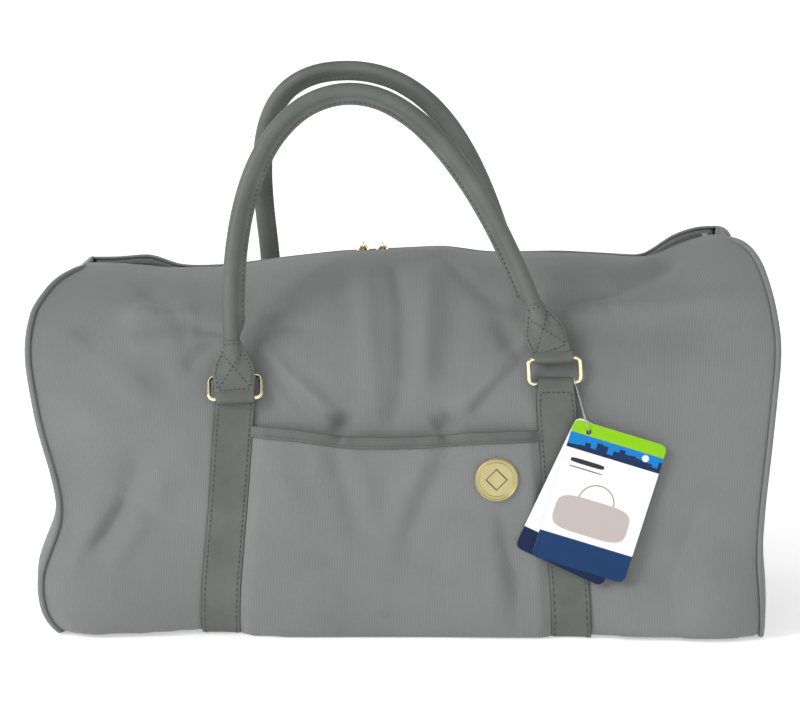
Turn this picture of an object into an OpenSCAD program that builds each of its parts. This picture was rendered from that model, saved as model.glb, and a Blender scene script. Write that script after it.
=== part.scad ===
/* [Bag] */
// Length over the two domed end panels
bag_length = 559; // [480:1:680]
// Depth of the canvas body from front to back
bag_depth = 284; // [236:1:345]
// Height of the closed ridge above the floor
bag_height = 285; // [260:1:345]
// Radius of the two long lower corners
corner_r = 44; // [36:1:54]
// How far each end panel domes out past its seam
end_dome = 8; // [6:1:10]
// Thickness of the canvas with its backing
canvas_t = 2; // [1.6:0.1:2.4]
// Thickness of the lining
lining_t = 0.8; // [0.6:0.1:1]
// Diameter of the piping on the end seams
piping_d = 4.4; // [3.4:0.1:4.6]
// Thickness of the stiffener board in the base
board_t = 3; // [2:0.5:4]

/* [Straps and rings] */
// Distance between the centres of the two straps
strap_span = 238; // [200:1:280]
// Width of a strap
strap_w = 30; // [27:1:33]
// Thickness of a strap
strap_t = 2.2; // [1.6:0.1:2.6]
// How much further out a strap lies at the floor than at its ring
strap_splay = 14; // [0:1:18]
// Wire of the rectangular rings
ring_wire = 3.2; // [2.8:0.1:3.6]
// Outside width of a ring
ring_w = 42; // [40:1:48]
// Outside height of a ring
ring_h = 21.5; // [20:0.5:26]

/* [Handles] */
// Diameter of the rolled handle
handle_d = 12; // [10:0.5:14]
// Thickness of the leather round the handle's core
handle_wall = 1.6; // [1.2:0.1:2]
// Height of the front handle's crown above its ring axis
front_rise = 226; // [190:1:250]
// Height of the back handle's crown above its ring axis
back_rise = 245; // [200:1:260]
// How far the front handle's crown sits to the left of the middle
crown_shift = 25; // [0:1:40]
// How far the back handle's crown sits to the left of the middle
back_shift = 42; // [0:1:50]
// Lean of the standing handles towards the ridge, in degrees
handle_lean = 9; // [4:1:10]
// Length of an end tab from ring bar to handle
tab_len = 43; // [38:1:50]
// Widest part of an end tab
tab_w = 31; // [28:1:33]

/* [Front pocket] */
// Height of the pocket's mouth above the floor
pocket_top = 154; // [135:1:170]
// Room inside the pocket, front to back
pocket_gap = 4.8; // [4.5:0.1:6]
// Thickness of the pocket panel
pocket_t = 1.4; // [1:0.1:2]
// Height of the leather trim along the mouth
trim_h = 8; // [6:0.5:12]
// Diameter of the badge
badge_d = 32; // [24:1:36]

/* [Zip] */
// Width of the gap between the canvas edges
zip_gap = 18; // [16:1:22]
// Length of a slider
slider_l = 13; // [11:0.5:14]
// Length of a zip pull
pull_l = 26; // [20:1:30]

/* [Ends, feet and tag] */
// Inside width of a D-ring
dring_in = 27; // [22:1:32]
// Height of a foot
foot_h = 5; // [4.9:0.1:8]
// Diameter of a foot
foot_d = 14; // [10:1:18]
// Distance of the feet from the end seams
foot_in = 56; // [40:1:80]
// Distance of the feet from the lower corners
foot_back = 18.5; // [12:0.5:40]
// Width of a tag card
card_w = 72; // [50:1:80]
// Height of a tag card
card_h = 108; // [80:1:112]

/* [Hidden] */
$fn = 64;

canvas = "#7f8584";
leather = "#70756f";
gold = "#c9b778";
black = "#26282a";

layer_gap = 0.3;       // between two sewn layers
run_gap = 0.5;         // between a ring's bar and the leather round it
tilt_gap = 1.2;        // the same, where the bar sits a little askew
far = 1000;            // longer than anything on the bag
sink = 0.2;            // how far two joined shapes run into each other
through = 1;           // how far a cut runs past each face

// Body profile: an arch on straight sides with two rounded lower corners
arch_r = bag_depth / 2;
arch_z = bag_height - arch_r;
base_z = foot_h;
base_half = arch_r - corner_r;
seam_x = bag_length / 2 - end_dome;
corner_reach = norm([base_half, arch_z - base_z - corner_r]) + corner_r;
piping_gap = 0.1;
dome_rise = end_dome - canvas_t;
dome_r = (corner_reach * corner_reach + dome_rise * dome_rise) / (2 * dome_rise);

// Layers of the floor, from the outside in
lining_in = canvas_t + layer_gap;
inner_in = lining_in + lining_t;
board_z = base_z + inner_in + layer_gap;
washer_t = 1;
washer_r = 6;
rivet_h = 0.6;
stem_r = 1.5;
stem_gap = 0.2;
foot_x = seam_x - foot_in;
foot_y = base_half - foot_back;
slip_w = 200;          // width of the slip pocket inside
slip_depth = 5.6;      // its room, front to back
slip_clear = 4;        // between it and the ends of the straight wall
board_in = 6;          // from the board's end to the end seam
board_side = 2;        // from the board's edge to the lower corner

// A point beside the arch, at a distance from its centre and an angle above level
function beside(reach, angle, side) =
    [0, side * reach * cos(angle), arch_z + reach * sin(angle)];

// Ring bars and the leather loops round them
bar_r = ring_wire / 2;
ring_pitch = ring_h - ring_wire;
ring_side = (ring_w - ring_wire) / 2;
ring_corner = 4;
strap_loop_in = bar_r + tilt_gap;
strap_loop_r = strap_loop_in + 2;
strap_loop_w = strap_w - 5;
strap_cut = 2.5;       // angle from a strap's loop down to where its flat part starts
strap_pad = 5;         // angle from the loop down to the end of the fold sewn to it
strap_reach = arch_r + layer_gap + strap_loop_r;
tab_loop_in = bar_r + run_gap;
tab_loop_r = tab_loop_in + 2;
tab_loop_w = 24;
tab_t = 4;
leaf_mid = 17;         // height of a tab's widest part above its loop
leaf_round = 9;        // rounding of a tab's shoulders

// The front left ring hangs down, so the front handle turns on that ring's
// lower bar at one end and on the right ring's lower bar at the other
hang_angle = 15.1;
stand_angle = 19.9;
hang_off = 10;         // of the hanging ring's lower bar from the canvas
hang_reach = arch_r + hang_off;
hang_bar = beside(hang_reach, hang_angle, -1);
stand_bar = beside(strap_reach, stand_angle, -1);
hang_step = acos((hang_reach * hang_reach + strap_reach * strap_reach - ring_pitch * ring_pitch)
    / (2 * hang_reach * strap_reach));
left_loop = beside(strap_reach, hang_angle + hang_step, -1);
hang_lean = atan((left_loop[1] - hang_bar[1]) / (left_loop[2] - hang_bar[2]));
front_mid = (hang_bar + stand_bar) / 2;
front_yaw = asin((stand_bar[1] - hang_bar[1]) / strap_span);
front_tilt = asin((stand_bar[2] - hang_bar[2]) / strap_span);
back_bar = beside(strap_reach, stand_angle, 1);
splay_top = hang_bar[2];

// Handle line: two Bezier curves that meet level at the crown
handle_r = handle_d / 2;
core_gap = 0.15;
core_r = handle_r - handle_wall - core_gap;
flange_h = 4.5;
neck_r = handle_r + 1;
neck_len = 14;
core_in = 11;
front_left_heading = 91;
back_left_heading = 81;
right_heading = 107.5;
front_pull = [0.52, 0.25, 0.27, 0.34];    // reach of the curve's four control points, over the rise
back_pull = [0.17, 0.46, 0.38, 0.34];
function ray(angle) = [cos(angle), sin(angle)];
function bezier(p, t) = pow(1 - t, 3) * p[0] + 3 * t * pow(1 - t, 2) * p[1]
    + 3 * t * t * (1 - t) * p[2] + pow(t, 3) * p[3];
function slope(p, t) = pow(1 - t, 2) * (p[1] - p[0]) + 2 * t * (1 - t) * (p[2] - p[1])
    + t * t * (p[3] - p[2]);
function left_curve(loop, crown, heading, pull) = let(start = loop + tab_len * ray(heading), rise = crown[1])
    [start, start + pull[0] * rise * ray(heading), crown - [pull[1] * rise, 0], crown];
function right_curve(loop, crown, pull) = let(end = loop + tab_len * ray(right_heading), rise = crown[1])
    [crown, crown + [pull[2] * rise, 0], end + pull[3] * rise * ray(right_heading), end];
steps = 17;
function stations(left, right) = concat(
    [for (i = [0 : steps - 1]) [bezier(left, i / steps), slope(left, i / steps)]],
    [for (i = [0 : steps]) [bezier(right, i / steps), slope(right, i / steps)]]);
front_left_loop = [-strap_span / 2, 0];
front_right_loop = [strap_span / 2, ring_pitch];
back_left_loop = [-strap_span / 2, ring_pitch];
back_right_loop = [strap_span / 2, ring_pitch];
front_crown = [-crown_shift, front_rise];
back_crown = [-back_shift, back_rise];
front_line = stations(
    left_curve(front_left_loop, front_crown, front_left_heading, front_pull),
    right_curve(front_right_loop, front_crown, front_pull));
back_line = stations(
    left_curve(back_left_loop, back_crown, back_left_heading, back_pull),
    right_curve(back_right_loop, back_crown, back_pull));

// Front pocket
pocket_out = pocket_gap + pocket_t;
pocket_half = strap_span / 2 - strap_w / 2 - 1;
pocket_bottom = base_z + corner_r;
pocket_seam = 2;       // width of the pocket's sewn edge
sewn_gap = 0.05;       // between layers that are sewn tight together
trim_t = 1.2;
trim_out = pocket_out + sewn_gap;
badge_x = 75;
badge_z = pocket_top - 32;
badge_t = 1.8;
prong_r = 0.8;
prong_start = 2;       // from the canvas to the bent-over tips of the prongs
prong_gap_r = 0.2;
prong_x = 7;
rim_t = 0.5;
rim_w = 1.2;
plate_w = 3;
plate_t = 0.8;

// Zip, from the ridge down
tape_t = 0.8;
tape_w = 13;
tape_end = 2;          // from a tape's end to the end seam
teeth_w = 2;
teeth_t = 2.4;
teeth_slot = 0.6;
teeth_top = bag_height - canvas_t;
tape_top = teeth_top - 1.2;
tape_in = teeth_slot + teeth_w;
lining_mouth = tape_in + tape_w + 2;
stop_l = 5;
teeth_half = seam_x - tape_end - stop_l - 1;
stop_gap = 0.1;
slider_w = 10;
slider_t = 1.2;
slider_gap = 0.4;
cheek_t = 1.4;
post_l = 4;
post_w = 0.6;
slider_top = teeth_top + slider_gap + slider_t;
slider_floor = teeth_top - teeth_t - slider_gap;
slider_x = [-26.3, -10.7];
bail_r = 4.2;
bail_wire = 0.9;
bail_z = slider_top + bail_r;
eye_r = 2.6;
eye_wire = 0.7;
pull_w = 8;
pull_t = 1.4;
pull_root = 3;
pull_hole = 1.6;
pull_drop = 10;

// End tabs and D-rings
dring_r = 1.5;
dring_mid = dring_in / 2 + dring_r;
dring_z = arch_z + arch_r * 0.45;
dring_loop_in = dring_r + layer_gap;
dring_loop_r = dring_loop_in + 1.6;    // outside of the leather loop
dring_loop_w = dring_in - 2;
end_tab_l = 38;
end_tab_t = 2.4;
dring_angle = asin((dring_z - arch_z) / dome_r);
dring_off = dring_loop_r + layer_gap;

// Hang tag on a thin loop round the right ring's lower bar
tag_cord = 0.5;
tag_bend = 4;
tag_along = strap_span / 2 + ring_side - ring_corner - 1;
tag_top = [tag_along, front_mid[1] + tag_along * sin(front_yaw), front_mid[2] + tag_along * sin(front_tilt)];
card_t = 0.4;
card_step = 0.6;       // of each card from the middle of the pair
card_gap = 0.5;        // between the pocket and the card behind
card_y = -(arch_r + pocket_out + card_gap + card_t / 2 + card_step);
tag_hang = 36;
tag_swing_out = 9.8;
tag_hole = [tag_along + tag_swing_out, card_y, tag_top[2] - tag_hang];
tag_drop = tag_hole - tag_top;
tag_pitch = atan(tag_drop[1] / -tag_drop[2]);
tag_roll = -atan(tag_drop[0] / -tag_drop[2]);
tag_len = norm(tag_drop) - tag_bend;
card_r = 5;
hole_r = 2;
hole_in = [13, 7];
card_lean = 17;
card_fan = 8;

// ---- Shared shapes ----

// A profile drawn as (y, z), pulled out along the bag's length
module along_x(length) {
    rotate([90, 0, 90]) linear_extrude(length, center = true) children();
}

// Outline of the body, moved in by inset (out, if negative)
module outline(inset) {
    r = arch_r - inset;
    intersection() {
        translate([0, arch_z]) circle(r, $fn = 180);
        slab(-far, far, arch_z, far);
    }
    translate([-r, base_z + corner_r]) square([2 * r, arch_z - base_z - corner_r]);
    translate([-base_half, base_z + inset]) square([2 * base_half, arch_z - base_z - inset]);
    for (side = [-1, 1])
        translate([side * base_half, base_z + corner_r]) circle(corner_r - inset, $fn = 96);
}

module wall(inset, t) {
    difference() {
        outline(inset);
        outline(inset + t);
    }
}

// A profile drawn as (x, z), pulled out across the bag's whole depth
module across_y() {
    rotate([90, 0, 0]) linear_extrude(2 * far, center = true) children();
}

// Strip between two distances from a strap's middle that leans out with it, as (x, z)
module splayed(side, x0, x1) {
    out = side * strap_splay;
    polygon([[x0 + out, 0], [x1 + out, 0], [x1, splay_top], [x1, far], [x0, far], [x0, splay_top]]);
}

module slab(y0, y1, z0, z1) {
    translate([y0, z0]) square([y1 - y0, z1 - z0]);
}

// Straight round bar along X, centred
module bar(length, r) {
    rotate([0, 90, 0]) cylinder(h = length, r = r, center = true);
}

// Rectangular wire ring in the XZ plane, its lower bar centred on the origin
module ring() {
    straight = ring_side - ring_corner;
    for (z = [0, ring_pitch])
        translate([0, 0, z]) bar(2 * straight, bar_r);
    for (side = [-1, 1])
        translate([side * ring_side, 0, ring_corner])
            cylinder(h = ring_pitch - 2 * ring_corner, r = bar_r);
    for (turn = [[1, 0], [0, 1], [0, 0], [1, 1]])
        mirror([turn[0], 0, 0])
            translate([straight, 0, turn[1] == 1 ? ring_pitch - ring_corner : ring_corner])
                rotate([90, 0, 0])
                    rotate([0, 0, turn[1] == 1 ? 0 : -90])
                        rotate_extrude(angle = 90) translate([ring_corner, 0]) circle(bar_r);
}

// Tube swept along a handle's line; solid when the inner radius is 0
function tube_ring(station, r, sides, flange) = let(
        p = station[0],
        d = station[1] / norm(station[1]),
        n = [-d[1], d[0]])
    [for (i = [0 : sides - 1]) let(
            a = 360 * i / sides,
            out = i == sides / 2 ? r + flange : r,
            q = p + out * cos(a) * n)
        [q[0], out * sin(a), q[1]]];

module swept_tube(line, outer, inner, sides, flange) {
    count = len(line);
    skins = inner > 0 ? 2 : 1;
    points = concat(
        [for (s = line) each tube_ring(s, outer, sides, flange)],
        [for (s = inner > 0 ? line : []) each tube_ring(s, inner, sides, 0)]);
    second = count * sides;
    last = (count - 1) * sides;
    faces = concat(
        [for (k = [0 : count - 2]) for (i = [0 : sides - 1]) let(j = (i + 1) % sides, b = k * sides)
            each [[b + i, b + sides + i, b + j], [b + j, b + sides + i, b + sides + j]]],
        [for (k = [0 : skins == 2 ? count - 2 : -1]) for (i = [0 : sides - 1])
            let(j = (i + 1) % sides, b = second + k * sides)
            each [[b + i, b + j, b + sides + i], [b + j, b + sides + j, b + sides + i]]],
        skins == 1 ? [[for (i = [0 : sides - 1]) i], [for (i = [sides - 1 : -1 : 0]) last + i]] : [],
        [for (i = [0 : skins == 2 ? sides - 1 : -1]) let(j = (i + 1) % sides)
            each [[i, j, second + i], [j, second + j, second + i],
                [last + i, second + last + i, last + j], [last + j, second + last + i, second + last + j]]]);
    polyhedron(points, faces, convexity = 8);
}

// Leather end tab in the XZ plane: its loop lies along the ring's bar, centred on
// the origin, and the leaf above it turns to the handle's heading
module handle_tab(heading) {
    turn = 90 - heading;
    difference() {
        union() {
            bar(tab_loop_w, tab_loop_r);
            rotate([0, turn, 0]) rotate([90, 0, 0]) linear_extrude(tab_t, center = true) hull() {
                translate([-tab_loop_w / 2, 0]) square([tab_loop_w, tab_loop_r]);
                for (side = [-1, 1])
                    translate([side * (tab_w / 2 - leaf_round), leaf_mid]) circle(leaf_round);
                translate([-neck_r, tab_len - neck_len / 2]) square([2 * neck_r, neck_len / 4]);
            }
            rotate([0, turn, 0]) translate([0, 0, tab_len - neck_len]) cylinder(h = neck_len, r = neck_r);
        }
        bar(2 * tab_w, tab_loop_in);
        rotate([0, turn, 0]) translate([0, 0, tab_len - core_in - through])
            cylinder(h = core_in + 2 * through, r = core_r + core_gap);
    }
}

// The core runs on, straight, into a bore in each end tab
module handle_core(line, left_loop_at, left_heading, right_loop_at) {
    left = ray(left_heading);
    right = ray(right_heading);
    depth = tab_len - core_in;
    swept_tube(concat([[left_loop_at + depth * left, left]], line, [[right_loop_at + depth * right, -right]]),
        core_r, 0, 12, 0);
}

// Frames that the two handles stand in
module front_axis() {
    translate(front_mid) rotate([0, -front_tilt, front_yaw]) children();
}
module front_stand() {
    front_axis() rotate([-handle_lean, 0, 0]) children();
}
module back_stand() {
    translate(back_bar) rotate([handle_lean, 0, 0]) children();
}
module at_loop(loop) {
    translate([loop[0], 0, loop[1]]) children();
}

// Everything on an end panel is set square to its dome
module on_end(side) {
    mirror([side < 0 ? 1 : 0, 0, 0])
        translate([seam_x + end_dome - dome_r, 0, arch_z])
            rotate([0, -dring_angle, 0])
                translate([dome_r, 0, 0]) children();
}

// ---- Canvas body ----

module side_panel(side) {
    color(canvas) along_x(2 * seam_x) intersection() {
        wall(0, canvas_t);
        mirror([side > 0 ? 1 : 0, 0]) union() {
            slab(-far, -zip_gap / 2, arch_z, far);
            slab(-far, -base_half, -far, arch_z);
        }
    }
}

module foot_places() {
    for (x = [-1, 1]) for (y = [-1, 1])
        translate([x * foot_x, y * foot_y, 0]) children();
}

module base_panel() {
    color(canvas) difference() {
        along_x(2 * seam_x) slab(-base_half, base_half, base_z, base_z + canvas_t);
        foot_places() translate([0, 0, base_z - through])
            cylinder(h = canvas_t + 2 * through, r = stem_r + stem_gap);
    }
}

module end_panel(side) {
    color(canvas) mirror([side < 0 ? 1 : 0, 0, 0]) difference() {
        intersection() {
            translate([seam_x + end_dome, 0, 0]) along_x(2 * end_dome) outline(0);
            translate([seam_x + end_dome - dome_r, 0, arch_z]) sphere(dome_r, $fn = 180);
        }
        intersection() {
            translate([seam_x, 0, 0]) along_x(2 * end_dome) outline(canvas_t);
            translate([seam_x + end_dome - dome_r, 0, arch_z]) sphere(dome_r - canvas_t, $fn = 180);
        }
    }
}

// Cord-filled piping that lies along the outside of the end seam
module piping(side) {
    r = piping_d / 2;
    lift = r + piping_gap;
    color(canvas) translate([side * seam_x, 0, 0]) union() {
        translate([0, 0, arch_z]) rotate([90, 0, 90]) rotate_extrude(angle = 180, $fn = 96)
            translate([arch_r + lift, 0]) circle(r, $fn = 24);
        for (y = [-1, 1]) {
            translate([0, y * (arch_r + lift), base_z + corner_r])
                cylinder(h = arch_z - base_z - corner_r, r = r, $fn = 24);
            translate([0, y * base_half, base_z + corner_r])
                rotate([90, 0, 90]) rotate([0, 0, y > 0 ? -90 : 180])
                    rotate_extrude(angle = 90, $fn = 96)
                        translate([corner_r + lift, 0]) circle(r, $fn = 24);
        }
        translate([0, 0, base_z - lift]) rotate([90, 0, 0])
            cylinder(h = 2 * base_half, r = r, center = true, $fn = 24);
    }
}

// Sewn lining bag, open along the zip
module lining() {
    half = seam_x - layer_gap;
    color("#5d6263") difference() {
        along_x(2 * half) outline(lining_in);
        along_x(2 * (half - lining_t)) outline(inner_in);
        along_x(2 * (half - lining_t)) slab(-lining_mouth, lining_mouth, arch_z, far);
        foot_places() translate([0, 0, base_z]) cylinder(h = inner_in + 2, r = stem_r + stem_gap);
    }
}

// Slip pocket on the back wall of the lining
module inner_pocket() {
    back = arch_r - inner_in;
    low = base_z + corner_r + slip_clear;
    high = arch_z - slip_clear;
    color("#53585a") difference() {
        translate([-slip_w / 2, back - slip_depth, low]) cube([slip_w, slip_depth, high - low]);
        translate([-slip_w / 2 + lining_t, back - slip_depth + lining_t, low + lining_t])
            cube([slip_w - 2 * lining_t, slip_depth, high - low]);
    }
}

module base_board() {
    color(black) difference() {
        along_x(2 * (seam_x - board_in))
            slab(-base_half + board_side, base_half - board_side, board_z, board_z + board_t);
        foot_places() translate([0, 0, board_z - through])
            cylinder(h = board_t + 2 * through, r = stem_r + stem_gap);
    }
}

// ---- Front pocket ----

module badge_prongs(r) {
    for (x = [-prong_x, prong_x])
        translate([badge_x + x, -arch_r - prong_start, badge_z]) rotate([90, 0, 0])
            cylinder(h = pocket_out - prong_start + sink, r = r, $fn = 24);
}

// Outline between the two straps as (x, z), moved in by inset at both sides
module between_straps(inset) {
    top = pocket_half - inset;
    low = top + strap_splay * (1 - pocket_bottom / splay_top);
    high = top + strap_splay * (1 - pocket_top / splay_top);
    polygon([[-low, pocket_bottom], [low, pocket_bottom], [high, pocket_top], [-high, pocket_top]]);
}

module front_pocket() {
    color(canvas) difference() {
        union() {
            intersection() {
                along_x(far) intersection() {
                    wall(-pocket_out, pocket_t);
                    slab(-far, 0, pocket_bottom, pocket_top);
                }
                across_y() between_straps(0);
            }
            intersection() {
                along_x(far) intersection() {
                    wall(-pocket_out, pocket_out - sewn_gap);
                    slab(-far, 0, pocket_bottom, pocket_top);
                }
                across_y() union() {
                    difference() {
                        between_straps(0);
                        between_straps(pocket_seam);
                    }
                    intersection() {
                        between_straps(0);
                        translate([-far, pocket_bottom]) square([2 * far, pocket_seam]);
                    }
                }
            }
        }
        badge_prongs(prong_r + prong_gap_r);
    }
}

module pocket_trim() {
    color(leather) along_x(2 * pocket_half) union() {
        intersection() {
            wall(-trim_out - trim_t, trim_t);
            slab(-far, 0, pocket_top - trim_h, pocket_top + trim_t);
        }
        intersection() {
            wall(-trim_out - sewn_gap, pocket_t + 2 * sewn_gap);
            slab(-far, 0, pocket_top + sewn_gap, pocket_top + trim_t);
        }
    }
}

module badge() {
    color(gold) union() {
        translate([badge_x, -arch_r - pocket_out - sewn_gap, badge_z]) rotate([90, 0, 0]) difference() {
            cylinder(h = badge_t, r = badge_d / 2);
            translate([0, 0, badge_t - rim_t]) cylinder(h = rim_t + through, r = badge_d / 2 - rim_w);
        }
        badge_prongs(prong_r);
    }
}

module badge_washer() {
    color(gold) difference() {
        translate([badge_x, -arch_r - pocket_gap + plate_t + piping_gap, badge_z]) rotate([90, 0, 0])
            cylinder(h = plate_t, r = prong_x + plate_w);
        badge_prongs(prong_r + prong_gap_r / 2);
    }
}

// ---- Straps: from ring to ring, down the front, under the base and up the back ----

module strap_loop_profile(at, angle, side) {
    pad = beside(arch_r + layer_gap + strap_t / 2, angle - strap_pad, side);
    difference() {
        hull() {
            translate([at[1], at[2]]) circle(strap_loop_r);
            translate([pad[1], pad[2]]) circle(strap_t / 2);
        }
        translate([at[1], at[2]]) circle(strap_loop_in);
    }
}

module strap(side, loop_at, loop_angle) {
    front = beside(far, loop_angle - strap_cut, -1);
    back = beside(far, stand_angle - strap_cut, 1);
    color(leather) translate([side * strap_span / 2, 0, 0]) union() {
        intersection() {
            along_x(far) difference() {
                wall(-layer_gap - strap_t, strap_t);
                polygon([
                    [0, arch_z], [front[1], front[2]], [-far, 2 * far],
                    [far, 2 * far], [back[1], back[2]]]);
            }
            across_y() splayed(side, -strap_w / 2, strap_w / 2);
        }
        along_x(strap_loop_w) strap_loop_profile(loop_at, loop_angle, -1);
        along_x(strap_loop_w) strap_loop_profile(back_bar, stand_angle, 1);
    }
}

// ---- Zip ----

module zip_tape(side) {
    color(leather) along_x(2 * (seam_x - tape_end))
        slab(side > 0 ? tape_in : -tape_in - tape_w, side > 0 ? tape_in + tape_w : -tape_in,
            tape_top - tape_t, tape_top);
}

module zip_teeth(side) {
    color(black) along_x(2 * teeth_half)
        slab(side > 0 ? teeth_slot : -tape_in, side > 0 ? tape_in : -teeth_slot,
            teeth_top - teeth_t, teeth_top);
}

module zip_stops() {
    color(gold) for (side = [-1, 1])
        translate([side * (teeth_half + stop_gap + stop_l / 2), 0, teeth_top - teeth_t / 2])
            cube([stop_l, 2 * (tape_in - stop_gap), teeth_t], center = true);
}

module slider(x) {
    post = slider_top - slider_floor;
    color(gold) translate([x, 0, 0]) union() {
        for (z = [slider_top - slider_t, slider_floor - slider_t])
            translate([-slider_l / 2, -slider_w / 2, z]) cube([slider_l, slider_w, slider_t]);
        for (y = [-slider_w / 2, slider_w / 2 - cheek_t])
            translate([-slider_l / 2, y, tape_top + slider_gap])
                cube([slider_l, cheek_t, slider_top - tape_top - slider_gap]);
        translate([-post_l / 2, -post_w / 2, slider_floor - sink / 2]) cube([post_l, post_w, post]);
        translate([0, 0, slider_top - sink]) rotate([90, 0, 0])
            rotate_extrude(angle = 180) translate([bail_r, 0]) circle(bail_wire, $fn = 24);
    }
}

module pull(x) {
    color(gold) translate([x, 0, bail_z - sink]) rotate([-pull_drop, 0, 0]) difference() {
        union() {
            rotate([0, 90, 0]) rotate_extrude() translate([eye_r, 0]) circle(eye_wire, $fn = 24);
            translate([0, pull_l / 2 + eye_r, 0]) linear_extrude(pull_t, center = true) hull() {
                translate([0, pull_l / 2 - pull_w / 2]) circle(pull_w / 2);
                translate([-pull_root / 2, -pull_l / 2]) square([pull_root, eye_wire * 2]);
            }
        }
        translate([0, pull_l + eye_r - pull_w / 2, 0]) cylinder(h = 3 * pull_t, r = pull_hole, center = true);
    }
}

// ---- Rings and handles ----

module ring_front_left() {
    color(gold) front_axis() at_loop(front_left_loop) rotate([-hang_lean, 0, 0]) ring();
}
module ring_front_right() {
    color(gold) front_stand() translate([strap_span / 2, 0, 0]) ring();
}
module ring_back(side) {
    color(gold) back_stand() translate([side * strap_span / 2, 0, 0]) ring();
}
module handle_front() {
    color(leather) front_stand() swept_tube(front_line, handle_r, handle_r - handle_wall, 20, flange_h);
}
module handle_back() {
    color(leather) back_stand() swept_tube(back_line, handle_r, handle_r - handle_wall, 20, flange_h);
}
module handle_front_core() {
    color("#d8d2c0") front_stand() handle_core(front_line, front_left_loop, front_left_heading, front_right_loop);
}
module handle_back_core() {
    color("#d8d2c0") back_stand() handle_core(back_line, back_left_loop, back_left_heading, back_right_loop);
}
module tab_front(loop, heading) {
    color(leather) front_stand() at_loop(loop) handle_tab(heading);
}
module tab_back(loop, heading) {
    color(leather) back_stand() at_loop(loop) handle_tab(heading);
}

// ---- End tabs and D-rings ----

module end_tab(side) {
    color(leather) on_end(side) difference() {
        union() {
            translate([layer_gap, -dring_loop_w / 2, 0]) cube([end_tab_t, dring_loop_w, end_tab_l]);
            translate([dring_off, 0, 0]) rotate([90, 0, 0])
                cylinder(h = dring_loop_w, r = dring_loop_r, center = true);
        }
        translate([dring_off, 0, 0]) rotate([90, 0, 0])
            cylinder(h = dring_loop_w + through, r = dring_loop_in, center = true);
    }
}

module dring(side) {
    color(gold) on_end(side) translate([dring_off, 0, 0]) union() {
        rotate([90, 0, 0]) cylinder(h = 2 * dring_mid, r = dring_r, center = true, $fn = 32);
        rotate([0, 90, 0]) rotate([0, 0, -90]) rotate_extrude(angle = 180)
            translate([dring_mid, 0]) circle(dring_r, $fn = 32);
        for (y = [-dring_mid, dring_mid])
            translate([0, y, 0]) sphere(dring_r, $fn = 32);
    }
}

// ---- Feet ----

module feet() {
    stem_top = board_z + board_t + washer_t + rivet_h;
    color(gold) foot_places() rotate_extrude() union() {
        polygon([[0, 0], [foot_d * 0.3, 0], [foot_d * 0.44, foot_h * 0.3],
            [foot_d / 2, foot_h * 0.75], [foot_d / 2, foot_h], [0, foot_h]]);
        square([stem_r, stem_top]);
    }
}

module foot_washers() {
    color(gold) foot_places() translate([0, 0, board_z + board_t]) difference() {
        cylinder(h = washer_t, r = washer_r);
        translate([0, 0, -through]) cylinder(h = washer_t + 2 * through, r = stem_r + stem_gap / 2);
    }
}

// ---- Hang tag ----

module card(lean, back) {
    color("white") translate(tag_hole + [0, back, 0]) rotate([0, lean, 0])
        rotate([90, 0, 0]) linear_extrude(card_t, center = true) difference() {
            translate([-hole_in[0], hole_in[1] - card_h]) offset(card_r) offset(-card_r)
                square([card_w, card_h]);
            circle(hole_r);
        }
}

module tag_loop() {
    color("white") translate(tag_top) rotate([tag_pitch, tag_roll, 0]) union() {
        for (y = [-tag_bend, tag_bend])
            translate([0, y, -tag_len]) cylinder(h = tag_len, r = tag_cord, $fn = 16);
        rotate([90, 0, 90]) rotate_extrude(angle = 180, $fn = 32)
            translate([tag_bend, 0]) circle(tag_cord, $fn = 16);
        translate([0, 0, -tag_len]) rotate([-90, 0, 90]) rotate_extrude(angle = 180, $fn = 32)
            translate([tag_bend, 0]) circle(tag_cord, $fn = 16);
    }
}

side_panel(-1);  // front_panel
side_panel(1);  // back_panel
base_panel();
end_panel(-1);  // end_panel_left
end_panel(1);  // end_panel_right
piping(-1);  // piping_left
piping(1);  // piping_right
lining();
inner_pocket();
base_board();
front_pocket();
pocket_trim();
badge();
badge_washer();
strap(-1, left_loop, hang_angle + hang_step);  // strap_left
strap(1, stand_bar, stand_angle);  // strap_right
zip_tape(-1);  // zip_tape_front
zip_tape(1);  // zip_tape_back
zip_teeth(-1);  // zip_teeth_front
zip_teeth(1);  // zip_teeth_back
zip_stops();
slider(slider_x[0]);  // slider_left
slider(slider_x[1]);  // slider_right
pull(slider_x[0]);  // pull_left
pull(slider_x[1]);  // pull_right
ring_front_left();
ring_front_right();
ring_back(-1);  // ring_back_left
ring_back(1);  // ring_back_right
handle_front();
handle_front_core();
tab_front(front_left_loop, front_left_heading);  // tab_front_left
tab_front(front_right_loop, right_heading);  // tab_front_right
handle_back();
handle_back_core();
tab_back(back_left_loop, back_left_heading);  // tab_back_left
tab_back(back_right_loop, right_heading);  // tab_back_right
end_tab(-1);  // end_tab_left
end_tab(1);  // end_tab_right
dring(-1);  // dring_left
dring(1);  // dring_right
feet();
foot_washers();
card(card_lean, -card_step);  // tag_card_front
card(card_lean + card_fan, card_step);  // tag_card_back
tag_loop();
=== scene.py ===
import math

import bmesh
import bpy
import numpy as np
from mathutils import Matrix, Vector, noise


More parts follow.
